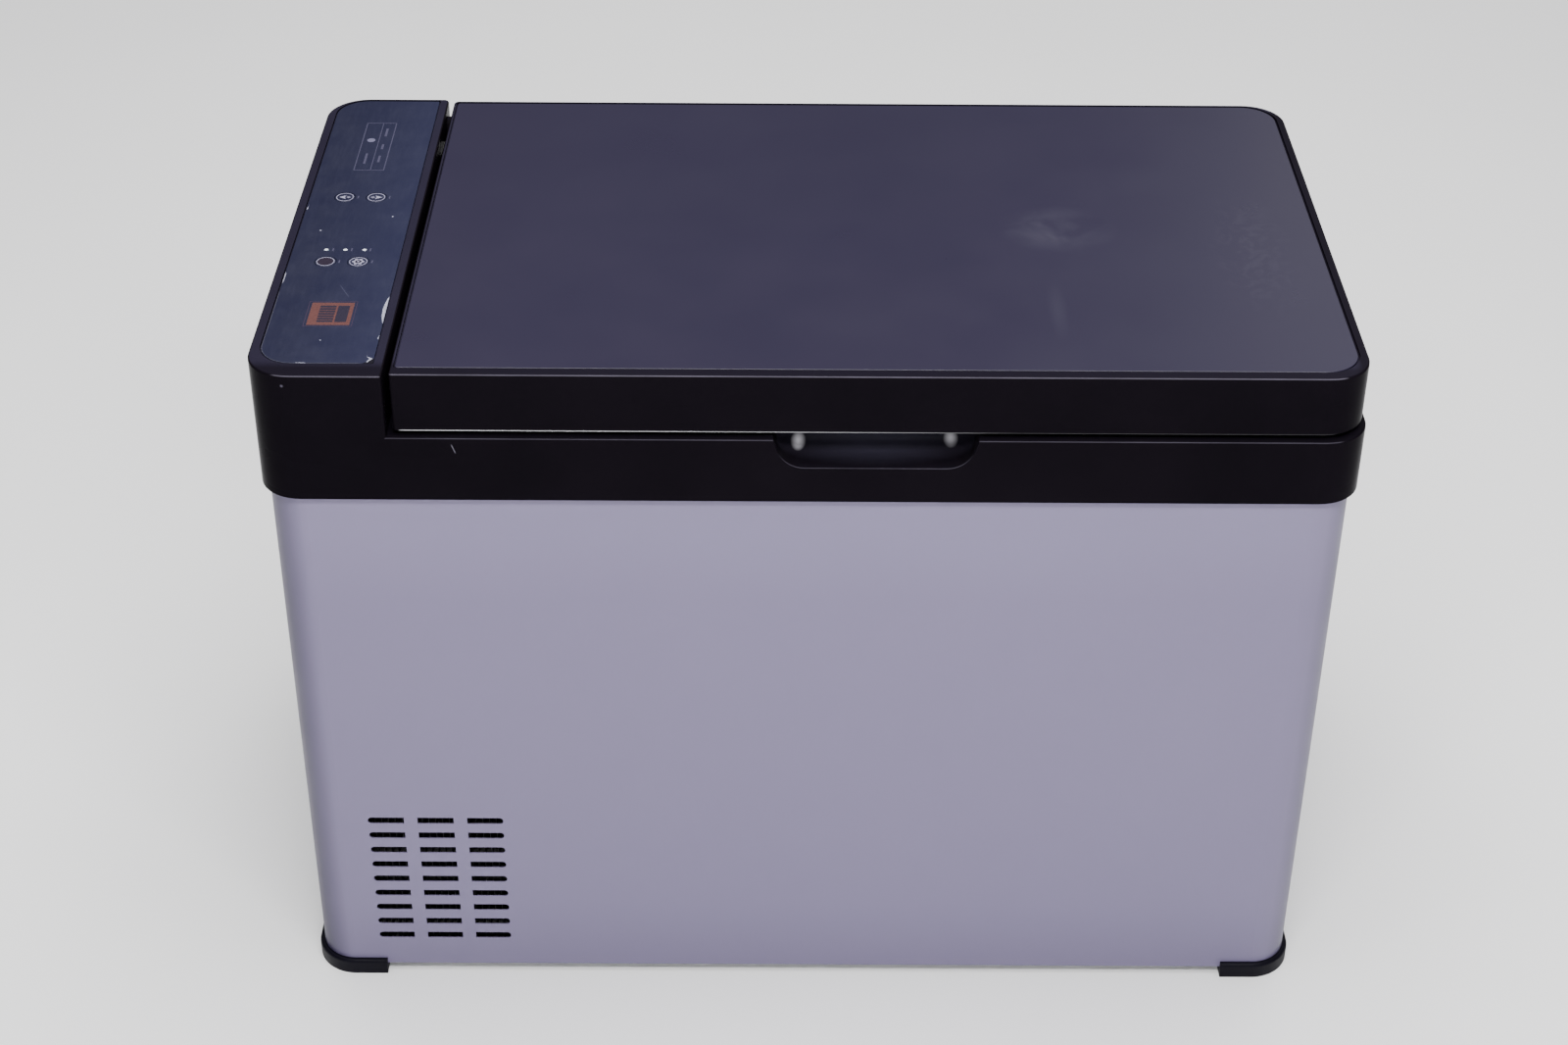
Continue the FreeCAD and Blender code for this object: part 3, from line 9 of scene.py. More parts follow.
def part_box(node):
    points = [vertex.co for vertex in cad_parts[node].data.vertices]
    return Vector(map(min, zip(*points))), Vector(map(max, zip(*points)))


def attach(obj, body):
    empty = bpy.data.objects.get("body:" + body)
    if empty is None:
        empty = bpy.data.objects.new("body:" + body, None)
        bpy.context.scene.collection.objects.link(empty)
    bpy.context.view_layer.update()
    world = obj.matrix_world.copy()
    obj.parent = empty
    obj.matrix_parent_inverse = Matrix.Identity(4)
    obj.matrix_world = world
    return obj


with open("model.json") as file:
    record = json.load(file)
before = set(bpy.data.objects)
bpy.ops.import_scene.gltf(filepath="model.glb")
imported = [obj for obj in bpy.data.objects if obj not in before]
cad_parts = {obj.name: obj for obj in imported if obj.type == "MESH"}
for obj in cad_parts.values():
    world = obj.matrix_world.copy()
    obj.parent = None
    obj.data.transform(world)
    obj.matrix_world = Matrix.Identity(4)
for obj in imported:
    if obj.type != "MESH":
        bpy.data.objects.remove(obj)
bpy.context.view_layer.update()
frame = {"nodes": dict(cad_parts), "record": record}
nodes = frame["nodes"]
MM = 0.001

# ------------------------------------------------------------------ colours, as linear light
SILVER_PAINT = (0.218, 0.190, 0.310)
# painted shade on the body paint, deeper low down and on its turned ends
PAINTED_SHADE = (0.020, 0.014, 0.050)
PAINT_SPECK = (0.2, 0.19, 0.22)
PLASTIC_BLACK = (0.0048, 0.0036, 0.0057)
BARE_BLACK = (0.010, 0.009, 0.013)
FOOT_BLACK = (0.0019, 0.0014, 0.0048)
COIL_BLACK = (0.004, 0.004, 0.0045)
# dust and painted sheen on the upper faces of the mouldings
DUST_AND_SHEEN_GREY = (0.0190, 0.0165, 0.0300)
# painted highlight along the moulded front edges
EDGE_HIGHLIGHT_GREY = (0.075, 0.068, 0.090)
NICK_GREY = (0.12, 0.11, 0.15)
SCRATCH_GREY = (0.20, 0.19, 0.24)
# painted light on the back of the finger recess
RECESS_PAINTED_LIGHT = (0.026, 0.024, 0.038)
# painted highlight spots in the finger recess
SPOT_HIGHLIGHT_WHITE = (0.95, 0.93, 1.0)
# painted glint along the lid's lower front edge
LOWER_EDGE_GLINT = (0.86, 0.86, 0.90)
SHEET_DARK = (0.0168, 0.0138, 0.0305)
SMUDGE_GREY = (0.085, 0.080, 0.105)
FILM_LEFT = (0.0082, 0.0086, 0.0250)
FILM_RIGHT = (0.0120, 0.0128, 0.0345)
FILM_GRAIN = (0.022, 0.023, 0.046)
FILM_SCRATCH = (0.20, 0.20, 0.28)
INKS = {
    "pale_ink": (0.27, 0.26, 0.35),
    "faint_ink": (0.050, 0.047, 0.082),
    "grey_ink": (0.115, 0.110, 0.180),
    "clay_ink": (0.088, 0.034, 0.031),
    "dark_ink": (0.016, 0.012, 0.025),
    "rust_ink": (0.036, 0.022, 0.044),
    "ruby_ink": (0.015, 0.009, 0.020),
}
CHIP_WHITE = (0.32, 0.32, 0.40)
EDGE_GREY = (0.060, 0.060, 0.082)
LINER_WHITE = (0.70, 0.70, 0.69)
FOAM_YELLOW = (0.78, 0.70, 0.46)
RUBBER_BLACK = (0.018, 0.018, 0.020)
ZINC_GREY = (0.62, 0.63, 0.64)
COPPER_RED = (0.72, 0.40, 0.27)
COPPER_TARNISH = (0.30, 0.14, 0.085)
ALUMINIUM_GREY = (0.76, 0.77, 0.78)
BOARD_GREEN = (0.018, 0.110, 0.040)
TRACK_GREEN = (0.05, 0.20, 0.08)
SLEEVE_BLACK = (0.012, 0.012, 0.013)
BUSH_BLACK = (0.008, 0.008, 0.009)
LENS_CLEAR = (0.90, 0.93, 0.95)
LIGHT_PIPE_WHITE = (0.80, 0.80, 0.86)
COMPRESSOR_BLACK = (0.014, 0.014, 0.015)
BASKET_WHITE = (0.76, 0.76, 0.75)
FLOOR_WHITE = (0.95, 0.95, 0.95)

# ------------------------------------------------------------------ camera
CAMERA_PLACE = (-0.01771, -1.37380, 1.13684)
CAMERA_PITCH = 33.730
CAMERA_YAW = 0.1728
CAMERA_ROLL = 0.3901
CAMERA_LENS = 61.03
CAMERA_SENSOR = 36.0


def add_camera():
    """The camera at the photograph's viewing angle."""
    pitch, yaw, roll = (math.radians(a) for a in (CAMERA_PITCH, CAMERA_YAW, CAMERA_ROLL))
    forward = Vector((math.sin(yaw) * math.cos(pitch),
                      math.cos(yaw) * math.cos(pitch),
                      -math.sin(pitch)))
    level = Vector((math.cos(yaw), -math.sin(yaw), 0.0))
    upright = level.cross(forward)
    right = math.cos(roll) * level + math.sin(roll) * upright
    up = math.cos(roll) * upright - math.sin(roll) * level
    turn = Matrix((right, up, -forward)).transposed().to_4x4()
    data = bpy.data.cameras.new("camera")
    data.lens = CAMERA_LENS
    data.sensor_width = CAMERA_SENSOR
    camera = bpy.data.objects.new("camera", data)
    camera.matrix_world = Matrix.Translation(CAMERA_PLACE) @ turn
    bpy.context.scene.collection.objects.link(camera)
    bpy.context.scene.camera = camera


# ------------------------------------------------------------------ materials
NOISE_LOW, NOISE_HIGH = 0.3, 0.7    # the span that nearly all of a noise pattern falls in


class Finish:
    """A procedural material being put together. Every pattern is in the object's own metres."""

    def __init__(self, name, colour, roughness, metallic=0.0, **sockets):
        self.material = bpy.data.materials.new(name)
        self.material.use_nodes = True
        self.tree = self.material.node_tree
        self.shader = self.tree.nodes["Principled BSDF"]
        self.place = self.node("ShaderNodeTexCoord").outputs["Object"]
        self.shader.inputs["Base Color"].default_value = (*colour, 1.0)
        self.shader.inputs["Roughness"].default_value = roughness
        self.shader.inputs["Metallic"].default_value = metallic
        for socket, value in sockets.items():
            self.shader.inputs[socket.replace("_", " ")].default_value = value
        self.colour = None
        self.normal = None
        self.plain = colour

    def node(self, kind, **settings):
        """A new node with its settings."""
        made = self.tree.nodes.new(kind)
        for key, value in settings.items():
            setattr(made, key, value)
        return made

    def put(self, value, socket):
        """A link, or a fixed value, into a socket."""
        if isinstance(value, bpy.types.NodeSocket):
            self.tree.links.new(value, socket)
        else:
            socket.default_value = value

    def stretched(self, stretch, offset=(0.0, 0.0, 0.0)):
        """Object coordinates scaled along each axis."""
        mapping = self.node("ShaderNodeMapping")
        mapping.inputs["Scale"].default_value = stretch
        mapping.inputs["Location"].default_value = offset
        self.put(self.place, mapping.inputs["Vector"])
        return mapping.outputs["Vector"]

    def axes(self, vector=None):
        """The X, Y and Z of a vector, or of the place in the object."""
        split = self.node("ShaderNodeSeparateXYZ")
        self.put(self.place if vector is None else vector, split.inputs[0])
        return split.outputs

    def facing(self):
        """The X, Y and Z of the object's own surface direction."""
        return self.axes(self.node("ShaderNodeTexCoord").outputs["Normal"])

    def noise(self, scale, detail=2.0, stretch=(1.0, 1.0, 1.0), distortion=0.0):
        """A cloudy pattern; the scale is in patches per metre."""
        made = self.node("ShaderNodeTexNoise")
        made.inputs["Scale"].default_value = scale
        made.inputs["Detail"].default_value = detail
        made.inputs["Distortion"].default_value = distortion
        self.put(self.stretched(stretch), made.inputs["Vector"])
        return made.outputs["Fac"]

    def cells(self, scale, feature="F1"):
        """The distance in a pattern of cells."""
        made = self.node("ShaderNodeTexVoronoi", feature=feature)
        made.inputs["Scale"].default_value = scale
        self.put(self.stretched((1.0, 1.0, 1.0)), made.inputs["Vector"])
        return made.outputs["Distance"]

    def remap(self, value, low, high, to_low=0.0, to_high=1.0):
        """A value brought from one span to another, and held at its ends."""
        made = self.node("ShaderNodeMapRange")
        made.inputs["From Min"].default_value = low
        made.inputs["From Max"].default_value = high
        made.inputs["To Min"].default_value = to_low
        made.inputs["To Max"].default_value = to_high
        self.put(value, made.inputs["Value"])
        return made.outputs["Result"]

    def maths(self, operation, *values):
        """Joins two or more values with one operation, in the order given."""
        result = values[0]
        for value in values[1:]:
            made = self.node("ShaderNodeMath", operation=operation)
            self.put(result, made.inputs[0])
            self.put(value, made.inputs[1])
            result = made.outputs["Value"]
        return result

    def product(self, *values):
        """The values multiplied together."""
        return self.maths("MULTIPLY", *values)

    def tint(self, factor, colour):
        """Moves the base colour towards another by a factor."""
        made = self.node("ShaderNodeMix", data_type="RGBA")
        self.put(factor, made.inputs["Factor"])
        self.put(self.colour or (*self.plain, 1.0), made.inputs[6])
        self.put((*colour, 1.0), made.inputs[7])
        self.colour = made.outputs[2]
        self.put(self.colour, self.shader.inputs["Base Color"])

    def shade(self, value, low, high, dark, light):
        """Colour that runs from a darker to a lighter share of the plain one with a pattern."""
        self.plain, base = tuple(c * dark for c in self.plain), self.plain
        self.tint(self.remap(value, low, high), tuple(min(1.0, c * light) for c in base))

    def gloss(self, value, low, high, rough_low, rough_high):
        """Roughness that follows a pattern."""
        roughness = self.remap(value, low, high, rough_low, rough_high)
        self.put(roughness, self.shader.inputs["Roughness"])

    def mottle(self, scale, detail, dark, light):
        """Cloudy shading between two shares of the plain colour."""
        self.shade(self.noise(scale, detail), NOISE_LOW, NOISE_HIGH, dark, light)

    def smear(self, scale, detail, smooth, rough):
        """Roughness that drifts between two values."""
        self.gloss(self.noise(scale, detail), NOISE_LOW, NOISE_HIGH, smooth, rough)

    def bump(self, height, depth):
        """Relief of a depth in metres."""
        made = self.node("ShaderNodeBump")
        made.inputs["Distance"].default_value = depth
        self.put(height, made.inputs["Height"])
        if self.normal:
            self.put(self.normal, made.inputs["Normal"])
        self.normal = made.outputs["Normal"]
        self.put(self.normal, self.shader.inputs["Normal"])

    def patch(self, centre, reach, edge=0.5):
        """A soft round patch: 1 at its centre and 0 beyond its reach along each axis."""
        stretch = tuple(1.0 / r for r in reach)
        offset = tuple(-c / r for c, r in zip(centre, reach))
        length = self.node("ShaderNodeVectorMath", operation="LENGTH")
        self.put(self.stretched(stretch, offset), length.inputs[0])
        return self.remap(length.outputs["Value"], edge, 1.0, 1.0, 0.0)

    def scratch(self, start, end, width):
        """A fine straight mark between two points."""
        start, end = Vector(start), Vector(end)
        along = (end - start).normalized()
        shift = self.node("ShaderNodeVectorMath", operation="SUBTRACT")
        self.put(self.place, shift.inputs[0])
        shift.inputs[1].default_value = (start + end) / 2
        across = self.node("ShaderNodeVectorMath", operation="CROSS_PRODUCT")
        self.put(shift.outputs["Vector"], across.inputs[0])
        across.inputs[1].default_value = along
        off = self.node("ShaderNodeVectorMath", operation="LENGTH")
        self.put(across.outputs["Vector"], off.inputs[0])
        reach = self.node("ShaderNodeVectorMath", operation="LENGTH")
        self.put(shift.outputs["Vector"], reach.inputs[0])
        half = (end - start).length / 2
        near = self.remap(off.outputs["Value"], width * 0.4, width, 1.0, 0.0)
        inside = self.remap(reach.outputs["Value"], half * 0.6, half, 1.0, 0.0)
        return self.product(near, inside)


def body_paint():
    """Silver paint with fine specks, and painted shade that deepens low down and on both turned
    ends.
    """
    f = Finish("body_paint", SILVER_PAINT, 0.42, Specular_IOR_Level=0.35)
    f.mottle(4.0, 3.0, 0.985, 1.015)
    lo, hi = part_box("outer_shell")
    # painted shade downwards: quickly under the frame, slowly along the wall and again at the foot
    shade_start, shade_end = hi.z - 0.015, hi.z - 0.080
    wall_end, foot_start = lo.z + 0.020, lo.z + 0.050
    upper_shade, wall_shade, foot_shade = 0.16, 0.05, 0.12
    height = f.axes()["Z"]
    upper = f.remap(height, shade_start, shade_end, 0.0, upper_shade)
    wall = f.remap(height, shade_end, wall_end, 0.0, wall_shade)
    foot = f.remap(height, foot_start, lo.z, 0.0, foot_shade)
    # painted shade sideways: from where the corner starts to turn to where it has turned
    left_turn, left_shade = (-0.10, -0.75), 0.62
    right_turn, right_shade = (0.40, 0.85), 0.30
    sideways = f.facing()["X"]
    left = f.remap(sideways, *left_turn, 0.0, left_shade)
    right = f.remap(sideways, *right_turn, 0.0, right_shade)
    # the painted shade: darker under the frame, down the wall, at the foot and on both turned ends
    f.tint(f.maths("ADD", upper, wall, foot, left, right), PAINTED_SHADE)
    speck_radius, speck_fade, speck_strength = 0.05, 0.09, 0.10
    f.tint(f.remap(f.cells(180.0), speck_radius, speck_fade, speck_strength, 0.0), PAINT_SPECK)
    f.smear(25.0, 3.0, 0.38, 0.46)
    f.bump(f.noise(420.0, 2.0), 0.00003)
    return f


def moulding(name, colour=PLASTIC_BLACK):
    """Black plastic with the fine grain of a spark eroded mould and a few handling smears."""
    smooth, rough = 0.26, 0.34
    f = Finish(name, colour, smooth, Specular_IOR_Level=0.01)
    f.mottle(12.0, 4.0, 0.85, 1.2)
    f.gloss(f.noise(9.0, 3.0, stretch=(1.0, 1.0, 3.0)), 0.35, 0.7, smooth, rough)
    f.bump(f.noise(2600.0, 1.0), 0.000006)
    return f


def dust_sheen_and_edge_highlight(f, node):
    """Upper faces greyed by dust and a painted sheen, less along the front; front edges get a
    painted highlight.
    """
    lo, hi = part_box(node)
    facing = f.facing()
    where = f.axes()
    rim_low, rim_high = hi.z - 0.006, hi.z - 0.003
    # the upper faces greyed partly by dust and partly as a painted sheen, and what is left of the
    # grey on each part that gets less
    ledge_share, front_share, left_share, right_share = 0.22, 0.26, 0.72, 0.15
    up = f.remap(facing["Z"], 0.90, 0.985, 0.0, 1.0)
    high = f.remap(where["Z"], rim_low, rim_high, ledge_share, 1.0)
    back = f.remap(where["Y"], lo.y + 0.009, lo.y + 0.016, front_share, 1.0)
    left = f.remap(where["X"], -0.5 * hi.x, -0.9 * hi.x, 1.0, left_share)
    right = f.remap(where["X"], hi.x - 0.010, hi.x - 0.005, 1.0, right_share)
    worn = f.remap(f.noise(30.0, 4.0), NOISE_LOW, NOISE_HIGH, 0.85, 1.0)
    f.tint(f.product(up, back, left, right, high, worn), DUST_AND_SHEEN_GREY)
    # a painted highlight on the front edges, where the surface turns from the front to the top
    ahead = f.product(facing["Y"], -1.0)
    edge = f.remap(f.maths("MINIMUM", ahead, facing["Z"]), 0.35, 0.62, 0.0, 1.0)
    front = f.remap(where["Y"], lo.y + 0.0014, lo.y + 0.0024, 1.0, 0.0)
    top = f.remap(where["Z"], rim_low, rim_high, 0.6, 1.0)
    patchy = f.remap(f.noise(24.0, 3.0), 0.3, 0.6, 0.6, 1.0)
    f.tint(f.product(edge, front, patchy, top), EDGE_HIGHLIGHT_GREY)
    return f


# each painted highlight spot in the finger recess: its distance from the frame's left side and from
# its top, and its strength
RECESS_HIGHLIGHTS = ((0.2934, 0.0488, 1.0), (0.3756, 0.0472, 0.85))
RECESS_HIGHLIGHT_DEEP = 0.0170
RECESS_HIGHLIGHT_REACH = (0.0044, 0.007, 0.0052)


def frame_moulding():
    """The top frame's moulding, with a nick, a scratch, painted light in the finger recess and
    painted highlight spots at its ends.
    """
    f = dust_sheen_and_edge_highlight(moulding("frame_moulding"), "top_frame")
    lo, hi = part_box("top_frame")

    def place(across, deep, down):
        return lo.x + across, lo.y + deep, hi.z - down

    nick_strength, scratch_width, scratch_strength, painted_light_strength = 0.6, 0.0004, 0.5, 0.9
    nick = f.patch(place(0.0211, 0.0, 0.0062), (0.0010, 0.004, 0.0010))
    f.tint(f.product(nick, nick_strength), NICK_GREY)
    line = f.scratch(place(0.1080, 0.0, 0.0414), place(0.1102, 0.0, 0.0476), scratch_width)
    f.tint(f.product(line, scratch_strength), SCRATCH_GREY)
    # painted light along the top of the recess's back, and painted highlight spots at both its ends
    back = f.patch(place(0.334, 0.014, 0.0440), (0.062, 0.016, 0.0160), 0.35)
    f.tint(f.product(back, painted_light_strength), RECESS_PAINTED_LIGHT)
    for across, down, strength in RECESS_HIGHLIGHTS:
        spot = f.patch(place(across, RECESS_HIGHLIGHT_DEEP, down), RECESS_HIGHLIGHT_REACH, 0.0)
        f.tint(f.product(f.maths("POWER", spot, 1.3), strength), SPOT_HIGHLIGHT_WHITE)
    return f


def lid_moulding():
    """The lid's moulding, with a painted highlight along its lower front edge, bright to the left
    of the middle.
    """
    f = dust_sheen_and_edge_highlight(moulding("lid_moulding"), "lid_shell")
    lo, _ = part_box("lid_shell")
    where = f.axes()
    # painted glint: a bright line along the lower front edge, fading towards the right
    low = f.remap(where["Z"], lo.z + 0.0006, lo.z + 0.0010, 1.0, 0.0)
    front = f.remap(where["Y"], lo.y + 0.0004, lo.y + 0.0012, 1.0, 0.0)
    start = f.remap(where["X"], lo.x + 0.0030, lo.x + 0.0045, 0.0, 1.0)
    fade = f.remap(where["X"], lo.x + 0.0900, lo.x + 0.3300, 1.0, 0.06)
    f.tint(f.product(low, front, start, fade), LOWER_EDGE_GLINT)
    return f


def lid_sheet():
    """Dark satin sheet with a thumb smudge, a wiped area by the right edge and a short streak."""
    f = Finish("lid_sheet", SHEET_DARK, 0.30, Specular_IOR_Level=0.3)
    f.mottle(2.2, 2.0, 0.93, 1.07)
    lo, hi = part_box("lid_inlay")
    wide = hi.x - lo.x

    def area(share, y, reach_x, reach_y, edge):
        """A patch on the sheet, its place given as a share of the sheet's width."""
        return f.patch((lo.x + share * wide, y, hi.z), (reach_x, reach_y, 0.05), edge)

    cloud = f.remap(f.noise(38.0, 4.0, distortion=0.6), 0.38, 0.62)
    smudge = f.product(area(0.710, 0.000, 0.036, 0.030, 0.35), cloud)
    swirl = f.remap(f.noise(70.0, 3.0, distortion=2.2), 0.5, 0.6)
    wiped = f.product(area(0.925, -0.030, 0.030, 0.095, 0.3), swirl, 0.5)
    streak = f.product(area(0.695, -0.097, 0.006, 0.034, 0.2), 0.4)
    marks = f.maths("MAXIMUM", smudge, wiped, streak)
    mark_strength, mark_roughness = 0.12, 0.08
    f.tint(f.product(marks, mark_strength), SMUDGE_GREY)
    fine = f.remap(f.noise(16.0, 5.0), NOISE_LOW, NOISE_HIGH, 0.27, 0.34)
    f.put(f.maths("ADD", fine, f.product(marks, mark_roughness)), f.shader.inputs["Roughness"])
    hair = f.remap(f.noise(260.0, 1.0, stretch=(0.04, 1.0, 1.0)), 0.70, 0.76)
    f.bump(hair, 0.000002)
    f.bump(f.noise(900.0, 1.0), 0.000004)
    return f


def panel_film(name="panel_film"):
    """Dark blue printed film, a little paler towards the lid, with one faint scratch."""
    f = Finish(name, FILM_LEFT, 0.34, Specular_IOR_Level=0.3)
    lo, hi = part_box("control_overlay")
    f.tint(f.remap(f.axes()["X"], lo.x + 0.01, hi.x - 0.004, 0.0, 1.0), FILM_RIGHT)
    grain = f.noise(500.0, 2.0, stretch=(1.0, 0.15, 1.0))
    f.tint(f.remap(grain, 0.45, 0.8, 0.0, 0.25), FILM_GRAIN)
    start = (lo.x + 0.0322, lo.y + 0.0870, hi.z)
    end = (lo.x + 0.0398, lo.y + 0.0712, hi.z)
    f.tint(f.product(f.scratch(start, end, 0.0003), 0.12), FILM_SCRATCH)
    f.smear(60.0, 4.0, 0.30, 0.42)
    f.bump(f.noise(1500.0, 1.0), 0.000005)
    return f


def liner_plastic():
    """White moulded liner plastic."""
    f = Finish("liner_plastic", LINER_WHITE, 0.34, Subsurface_Weight=0.05)
    f.mottle(6.0, 3.0, 0.97, 1.02)
    f.smear(30.0, 3.0, 0.30, 0.42)
    f.bump(f.noise(500.0, 2.0), 0.00004)
    return f


def foam():
    """Rigid cream foam with open cells."""
    f = Finish("foam", FOAM_YELLOW, 0.9)
    f.mottle(40.0, 4.0, 0.88, 1.08)
    f.bump(f.cells(1400.0), 0.0004)
    return f


def rubber():
    """Matt black seal rubber."""
    f = Finish("seal_rubber", RUBBER_BLACK, 0.62)
    f.mottle(50.0, 4.0, 0.85, 1.35)
    f.smear(80.0, 3.0, 0.55, 0.72)
    f.bump(f.noise(1800.0, 2.0), 0.00002)
    return f


def foot_moulding():
    """Black plastic of the feet, scuffed and less smooth than the frame."""
    f = Finish("foot_moulding", FOOT_BLACK, 0.42, Specular_IOR_Level=0.1)
    f.mottle(30.0, 4.0, 0.8, 1.4)
    f.smear(45.0, 4.0, 0.38, 0.6)
    f.bump(f.noise(1500.0, 3.0), 0.00004)
    return f


def zinc_steel():
    """Galvanised steel with spangle and rolling streaks."""
    f = Finish("zinc_steel", ZINC_GREY, 0.34, 1.0)
    spangle = f.cells(220.0)
    f.shade(spangle, 0.0, 0.8, 0.82, 1.08)
    streak = f.noise(300.0, 3.0, stretch=(1.0, 0.05, 1.0))
    f.gloss(streak, NOISE_LOW, NOISE_HIGH, 0.26, 0.48)
    f.bump(streak, 0.00001)
    return f


def enamel(name, colour, rough, peel=300.0):
    """Sprayed paint with orange peel."""
    f = Finish(name, colour, rough)
    f.mottle(20.0, 3.0, 0.9, 1.12)
    f.smear(35.0, 3.0, rough * 0.85, rough * 1.25)
    f.bump(f.noise(peel, 2.0), 0.00005)
    return f


def copper():
    """Copper tube with darker tarnish."""
    f = Finish("copper", COPPER_RED, 0.28, 1.0)
    f.tint(f.remap(f.noise(70.0, 4.0), 0.5, 0.75, 0.0, 0.7), COPPER_TARNISH)
    f.smear(90.0, 3.0, 0.22, 0.45)
    f.bump(f.noise(900.0, 2.0), 0.00001)
    return f


def aluminium():
    """Rolled aluminium fins."""
    f = Finish("fin_aluminium", ALUMINIUM_GREY, 0.36, 1.0)
    rolled = f.noise(400.0, 3.0, stretch=(1.0, 1.0, 0.05))
    f.shade(rolled, NOISE_LOW, NOISE_HIGH, 0.86, 1.05)
    f.gloss(rolled, NOISE_LOW, NOISE_HIGH, 0.3, 0.48)
    f.bump(rolled, 0.00001)
    return f


def board():
    """Green circuit board with raised tracks."""
    f = Finish("board", BOARD_GREEN, 0.35, Coat_Weight=0.4)
    tracks = f.cells(350.0, "DISTANCE_TO_EDGE")
    track_edge = (0.03, 0.06)
    f.tint(f.remap(tracks, *track_edge, 0.6, 0.0), TRACK_GREEN)
    f.smear(80.0, 2.0, 0.3, 0.42)
    f.bump(f.remap(tracks, *track_edge, 1.0, 0.0), 0.00003)
    return f


def cable_sleeve():
    """Black woven cable sleeve."""
    f = Finish("cable_sleeve", SLEEVE_BLACK, 0.5)
    f.mottle(60.0, 3.0, 0.8, 1.4)
    weave = f.node("ShaderNodeTexWave", wave_type="BANDS", bands_direction="DIAGONAL")
    weave.inputs["Scale"].default_value = 700.0
    f.put(f.place, weave.inputs["Vector"])
    f.gloss(weave.outputs["Fac"], 0.0, 1.0, 0.42, 0.62)
    f.bump(weave.outputs["Fac"], 0.00005)
    return f


def bush_plastic():
    """Plain black bush plastic."""
    f = Finish("bush_plastic", BUSH_BLACK, 0.4, Specular_IOR_Level=0.2)
    f.mottle(60.0, 3.0, 0.95, 1.03)
    f.smear(120.0, 3.0, 0.34, 0.5)
    f.bump(f.noise(1200.0, 2.0), 0.00001)
    return f


def lens_clear():
    """Clear lens with a prism pattern."""
    f = Finish("lens_clear", LENS_CLEAR, 0.4, Transmission_Weight=0.7)
    f.mottle(80.0, 2.0, 0.97, 1.02)
    f.smear(200.0, 2.0, 0.32, 0.5)
    f.bump(f.cells(900.0), 0.00008)
    return f


def light_pipe():
    """Milky plastic of the small lamps."""
    f = Finish("light_pipe", LIGHT_PIPE_WHITE, 0.3, Subsurface_Weight=0.2)
    f.mottle(900.0, 2.0, 0.95, 1.04)
    f.smear(700.0, 2.0, 0.25, 0.4)
    f.bump(f.noise(2500.0, 1.0), 0.000004)
    return f


def ink(name, colour, wear=0.25):
    """Screen printed ink with a slightly broken cover."""
    rough = 0.5
    f = Finish(name, colour, rough, Specular_IOR_Level=0.15)
    f.mottle(1400.0, 3.0, 1.0 - wear, 1.0 + wear * 0.5)
    f.smear(900.0, 2.0, rough * 0.9, rough * 1.2)
    f.bump(f.noise(3000.0, 1.0), 0.000003)
    return f


# ------------------------------------------------------------------ flat pieces on the panel
# everything flat is drawn in millimetres: the height of a print above its face, and its depth in it
PRINT_HEIGHT = 0.05
PRINT_SUNK = 0.02


def circle(x, y, radius, count=48):
    """A closed loop of points in millimetres."""
    angles = [math.tau * i / count for i in range(count)]
    return [(x + radius * math.cos(a), y + radius * math.sin(a)) for a in angles]


def rectangle(x0, x1, y0, y1):
    """The four corners of a rectangle."""
    return [(x0, y0), (x1, y0), (x1, y1), (x0, y1)]


def outline(x0, x1, y0, y1, stroke):
    """Two loops that leave a thin line round a rectangle."""
    return [rectangle(x0, x1, y0, y1),
            rectangle(x0 + stroke, x1 - stroke, y0 + stroke, y1 - stroke)]


def moved(points, x, y, side=1.0):
    """A loop moved to a place, and mirrored left to right where side is -1."""
    return [(x + side * px, y + py) for px, py in points]


def flat_piece(name, loops, under, finish, body, height=PRINT_HEIGHT):
    """A thin plate from closed loops in millimetres of plan; loops inside others are holes."""
    curve = bpy.data.curves.new(name, "CURVE")
    curve.dimensions = "2D"
    curve.fill_mode = "BOTH"
    for loop in loops:
        spline = curve.splines.new("POLY")
        spline.points.add(len(loop) - 1)
        for point, (x, y) in zip(spline.points, loop):
            point.co = (x, y, 0.0, 1.0)
        spline.use_cyclic_u = True
    thick = height + PRINT_SUNK
    curve.extrude = thick / 2
    drawn = bpy.data.objects.new(name + "_drawn", curve)
    bpy.context.scene.collection.objects.link(drawn)
    depsgraph = bpy.context.evaluated_depsgraph_get()
    mesh = bpy.data.meshes.new_from_object(drawn.evaluated_get(depsgraph))
    bpy.data.objects.remove(drawn)
    mesh.transform(Matrix.Scale(MM, 4) @ Matrix.Translation((0.0, 0.0, thick / 2 - PRINT_SUNK)))
    mesh.transform(Matrix.Translation((0.0, 0.0, under)))
    mesh.materials.clear()
    mesh.materials.append(finish.material)
    piece = bpy.data.objects.new(name, mesh)
    bpy.context.scene.collection.objects.link(piece)
    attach(piece, body)
    return piece


def panel_piece(name, loops, finish, height=PRINT_HEIGHT):
    """A flat piece on the control panel's printed film."""
    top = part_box("control_overlay")[1].z
    return flat_piece(name, loops, top, finish, "cabinet", height)


def key_piece(key, suffix, loops, finish):
    """A flat piece that rides on a key."""
    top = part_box(key)[1].z
    return flat_piece(key + suffix, loops, top, finish, key + "_body")


def centre_of(node):
    """The middle of a node in plan, in millimetres."""
    lo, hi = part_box(node)
    return (lo.x + hi.x) / 2 / MM, (lo.y + hi.y) / 2 / MM


